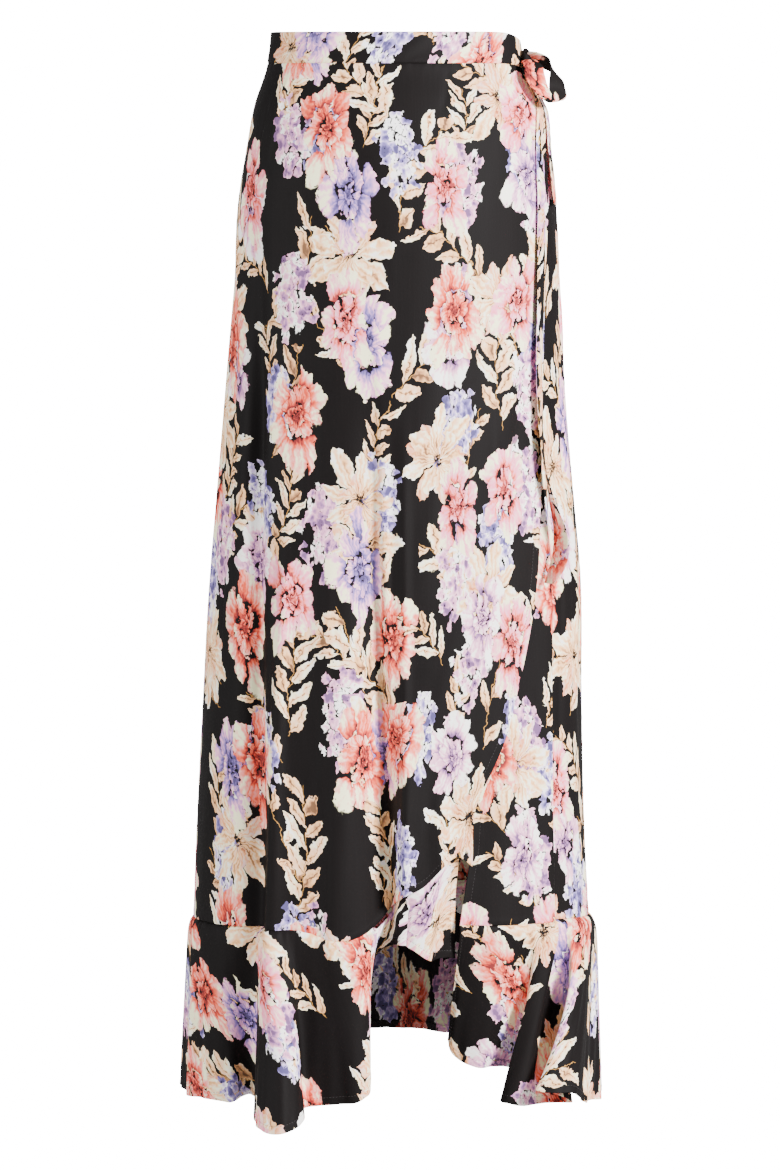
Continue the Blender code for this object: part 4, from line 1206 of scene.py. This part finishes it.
class SkirtSizes(bpy.types.PropertyGroup):
    cloth: length_setting("Cloth", "Thickness of the single cloth", 0.0006)
    turned: length_setting("Turned hem", "What a turned hem adds to the cloth's thickness", 0.0006)
    stitch: length_setting("Stitch", "Length of one topstitch", 0.0023)
    stitch_pitch: length_setting("Stitch pitch", "From the start of one topstitch to the next", 0.0031)
    thread: length_setting("Thread", "Half the thickness of the sewing thread", 0.0002)
    floor_drop: length_setting("Floor", "How far the floor lies below the waist", 1.075)


class SkirtColours(bpy.types.PropertyGroup):
    ground: colour_setting("Ground", "The dark ground of the print", "0f0c0c")
    thread: colour_setting("Thread", "Bare threads and the sewing thread", "383134")
    wrong_side: colour_setting("Wrong side", "What the wrong side of the cloth fades to", "2b2729")
    floor: colour_setting("Floor", "The floor and backdrop", "f6f5f4")


def finish_piece(made, node):
    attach(made, "root")
    if node:
        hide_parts(node)


def topstitched(name, lines):
    """Rows of topstitching as a piece, in a list that is empty where there are no lines."""
    if not lines:
        return []
    stitches = stitch_rows(name, lines)
    finish_piece(stitches, None)
    return [stitches]


# The panels: cloth, solid, topstitching, cut, flat size and area.
PANELS = (
    ("overlay_panel", "front_overlay", "overlay_topstitch", Panel(
        on_overlay, OVERLAY_FOOT, -1, lambda drop: trimmed(-90.0, drop, 1.0),
        lambda drop: edge_azimuth(OVERLAY_EDGE, drop), ("seam", "hem"), 168, 190, 0.0, (120.0, 900.0), -4.0),
     (0.54, 0.86), 0.335),
    ("underlap_panel", "front_underlap", "underlap_topstitch", Panel(
        on_underlap, UNDERLAP_FOOT, 0, lambda drop: edge_azimuth(UNDERLAP_EDGE, drop),
        lambda drop: trimmed(LEFT_SEAM, drop, -1.0), ("hem", "seam"), 118, 180, 62.0, (1330.0, 900.0)),
     (0.33, 0.85), 0.21),
    ("back_panel_cloth", "back_panel", None, Panel(
        on_body, BACK_FOOT, 2, lambda drop: trimmed(LEFT_SEAM, drop, 1.0),
        lambda drop: trimmed(RIGHT_SEAM, drop, -1.0), ("seam", "seam"), 180, 190, 180.0, (2450.0, 900.0)),
     (0.58, 0.86), 0.44),
)
# The flounces: cloth, solid, hem, seam, which ends are side seams, columns, place on the printed
# cloth, flat size, area and the piece above.
FLOUNCES = (
    ("overlay_flounce", "flounce_overlay", OVERLAY_HEM, overlay_seam, (0,), 360, (3150.0, 300.0),
     (0.75, 0.2), 0.07, "front_overlay"),
    ("underlap_flounce", "flounce_underlap", UNDERLAP_HEM, underlap_seam, (-1,), 300, (3950.0, 700.0),
     (0.55, 0.2), 0.06, "front_underlap"),
    ("back_flounce", "flounce_back", back_hem_rows(), back_seam, (0, -1), 430, (4700.0, 300.0),
     (0.85, 0.24), 0.12, "back_panel"),
)
# The ties: cloth, solid, how it is made and from what, place on the printed cloth, flat size and hang.
TIES = (
    ("tie_knot_cloth", "tie_knot", dress_knot, KNOT_SIZE, (1246.0, 306.0), (0.027, 0.036), "gathered"),
    ("tie_loop_cloth", "tie_loop", dress_loop, LOOP_WAY, (576.0, 316.0), (0.04, 0.115), "folded"),
    ("tie_tail_long_cloth", "tie_tail_long", dress_tail, LONG_TAIL, (280.0, 676.0), (0.04, 0.505), "hung"),
    ("tie_tail_short_cloth", "tie_tail_short", dress_tail, SHORT_TAIL, (860.0, 640.0), (0.034, 0.135), "hung"),
)


class SKIRT_OT_panels(bpy.types.Operator):
    """Cut and hang the overlay, the underlap and the back panel"""
    bl_idname = "skirt.panels"
    bl_label = "Panels"

    def execute(self, context):
        for name, node, stitching, panel, flat, area in PANELS:
            made, lines = dress_panel(name, panel)
            finish_piece(made, node)
            topstitched(stitching, lines)
        return {"FINISHED"}


class SKIRT_OT_flounces(bpy.types.Operator):
    """Cut and hang the three flounces"""
    bl_idname = "skirt.flounces"
    bl_label = "Flounces"

    def execute(self, context):
        for name, node, rows, top_point, seams, columns, place, flat, area, above in FLOUNCES:
            made, lines = dress_flounce(name, rows, top_point, seams, columns, place)
            finish_piece(made, node)
            topstitched(name + "_topstitch", lines)
        return {"FINISHED"}


class SKIRT_OT_waistband(bpy.types.Operator):
    """Fold and set the waistband"""
    bl_idname = "skirt.waistband"
    bl_label = "Waistband"

    def execute(self, context):
        band = dress_band()
        finish_piece(band, "waistband")
        return {"FINISHED"}


class SKIRT_OT_ties(bpy.types.Operator):
    """Tie the half bow: knot, loop and two tails"""
    bl_idname = "skirt.ties"
    bl_label = "Ties"

    def execute(self, context):
        for name, node, dress, rows, place, flat, held in TIES:
            made = dress(name, rows, place)
            finish_piece(made, node)
        return {"FINISHED"}


# The stage, in metres: the backdrop's half width and its line in y and z above the floor, the
# lights with their places, aims, sizes and watts, and the camera.
BACKDROP_SIDE = 4.5
BACKDROP = ((-2.6, 0.0), (1.5, 0.0), (2.2, 0.06), (2.75, 0.28), (3.05, 0.75), (3.15, 1.5), (3.15, 4.0))
BACKDROP_GLOW, WORLD_LIGHT = 18.0, 0.36
LIGHTS = (
    ("key", (2.4, -2.5, 1.0), (0.0, 0.0, -0.5), 0.8, 560.0),
    ("fill", (-2.9, -0.8, 0.2), (0.0, 0.0, -0.55), 1.2, 110.0),
)
CAMERA_PLACE, CAMERA_AIM, CAMERA_LENS = (-0.005, -3.0, -0.294), (-0.006, 0.0, -0.5205), 94.65


def aimed(name, data, place, aim):
    """A light or a camera at a place, turned towards its aim."""
    made = new_object(name, data)
    made.location = place
    made.rotation_euler = (Vector(aim) - Vector(place)).to_track_quat("-Z", "Y").to_euler()
    return made


def backdrop_material(floor):
    """White paper whose glow only the camera sees, so that it doesn't light the skirt."""
    paper, tree, shader = new_finish("backdrop paper")
    paper.cycles.emission_sampling = "NONE"
    glow = blend(put(tree, "LightPath", {}, out="Is Camera Ray"), (0.0, 0.0, 0.0, 1.0), floor)
    connect_all(shader, {"Base Color": (*(0.5 * part for part in floor[:3]), 1.0), "Roughness": 0.9,
                         "Emission Strength": BACKDROP_GLOW, "Emission Color": glow})
    return paper


class SKIRT_OT_stage(bpy.types.Operator):
    """Set up the floor, the backdrop, the lights and the camera"""
    bl_idname = "skirt.stage"
    bl_label = "Stage"

    def execute(self, context):
        low = context.scene.skirt_sizes.floor_drop
        points = [(side, y, z - low) for y, z in BACKDROP for side in (-BACKDROP_SIDE, BACKDROP_SIDE)]
        mesh = bpy.data.meshes.new("backdrop")
        mesh.from_pydata(points, [], [(k, k + 1, k + 3, k + 2) for k in range(0, len(points) - 2, 2)])
        mesh.shade_smooth()
        mesh.materials.append(backdrop_material(tuple(context.scene.skirt_colours.floor)))
        new_object("backdrop", mesh)
        world = bpy.data.worlds.new("studio")
        world.use_nodes = True
        colour, strength = world.node_tree.nodes["Background"].inputs[:2]
        colour.default_value, strength.default_value = (1.0, 1.0, 1.0, 1.0), WORLD_LIGHT
        context.scene.world = world
        for name, place, aim, size, power in LIGHTS:
            lamp = bpy.data.lights.new(name, "AREA")
            lamp.size, lamp.energy = size, power
            aimed(name, lamp, place, aim)
        lens = bpy.data.cameras.new("camera")
        lens.sensor_fit, lens.sensor_height, lens.lens = "VERTICAL", 36.0, CAMERA_LENS
        context.scene.camera = aimed("camera", lens, CAMERA_PLACE, CAMERA_AIM)
        return {"FINISHED"}


class VIEW3D_PT_skirt(bpy.types.Panel):
    """Sizes, colours and steps of the skirt"""
    bl_idname = "VIEW3D_PT_skirt"
    bl_label = "Wrap skirt"
    bl_space_type = "VIEW_3D"
    bl_region_type = "UI"
    bl_category = "Skirt"

    def draw(self, context):
        for group_name in ("skirt_sizes", "skirt_colours"):
            settings = getattr(context.scene, group_name)
            for key in settings.__annotations__:
                self.layout.prop(settings, key)
        for operator in OPERATORS:
            self.layout.operator(operator.bl_idname)


OPERATORS = (SKIRT_OT_stage, SKIRT_OT_panels, SKIRT_OT_flounces, SKIRT_OT_waistband, SKIRT_OT_ties)
CLASSES = (SkirtSizes, SkirtColours, *OPERATORS, VIEW3D_PT_skirt)


def register():
    for each in CLASSES:
        bpy.utils.register_class(each)
    bpy.types.Scene.skirt_sizes = bpy.props.PointerProperty(type=SkirtSizes)
    bpy.types.Scene.skirt_colours = bpy.props.PointerProperty(type=SkirtColours)


def unregister():
    del bpy.types.Scene.skirt_colours
    del bpy.types.Scene.skirt_sizes
    for each in reversed(CLASSES):
        bpy.utils.unregister_class(each)


def main():
    register()
    bpy.ops.skirt.stage()
    bpy.ops.skirt.panels()
    bpy.ops.skirt.flounces()
    bpy.ops.skirt.waistband()
    bpy.ops.skirt.ties()


if __name__ == "__main__":
    main()
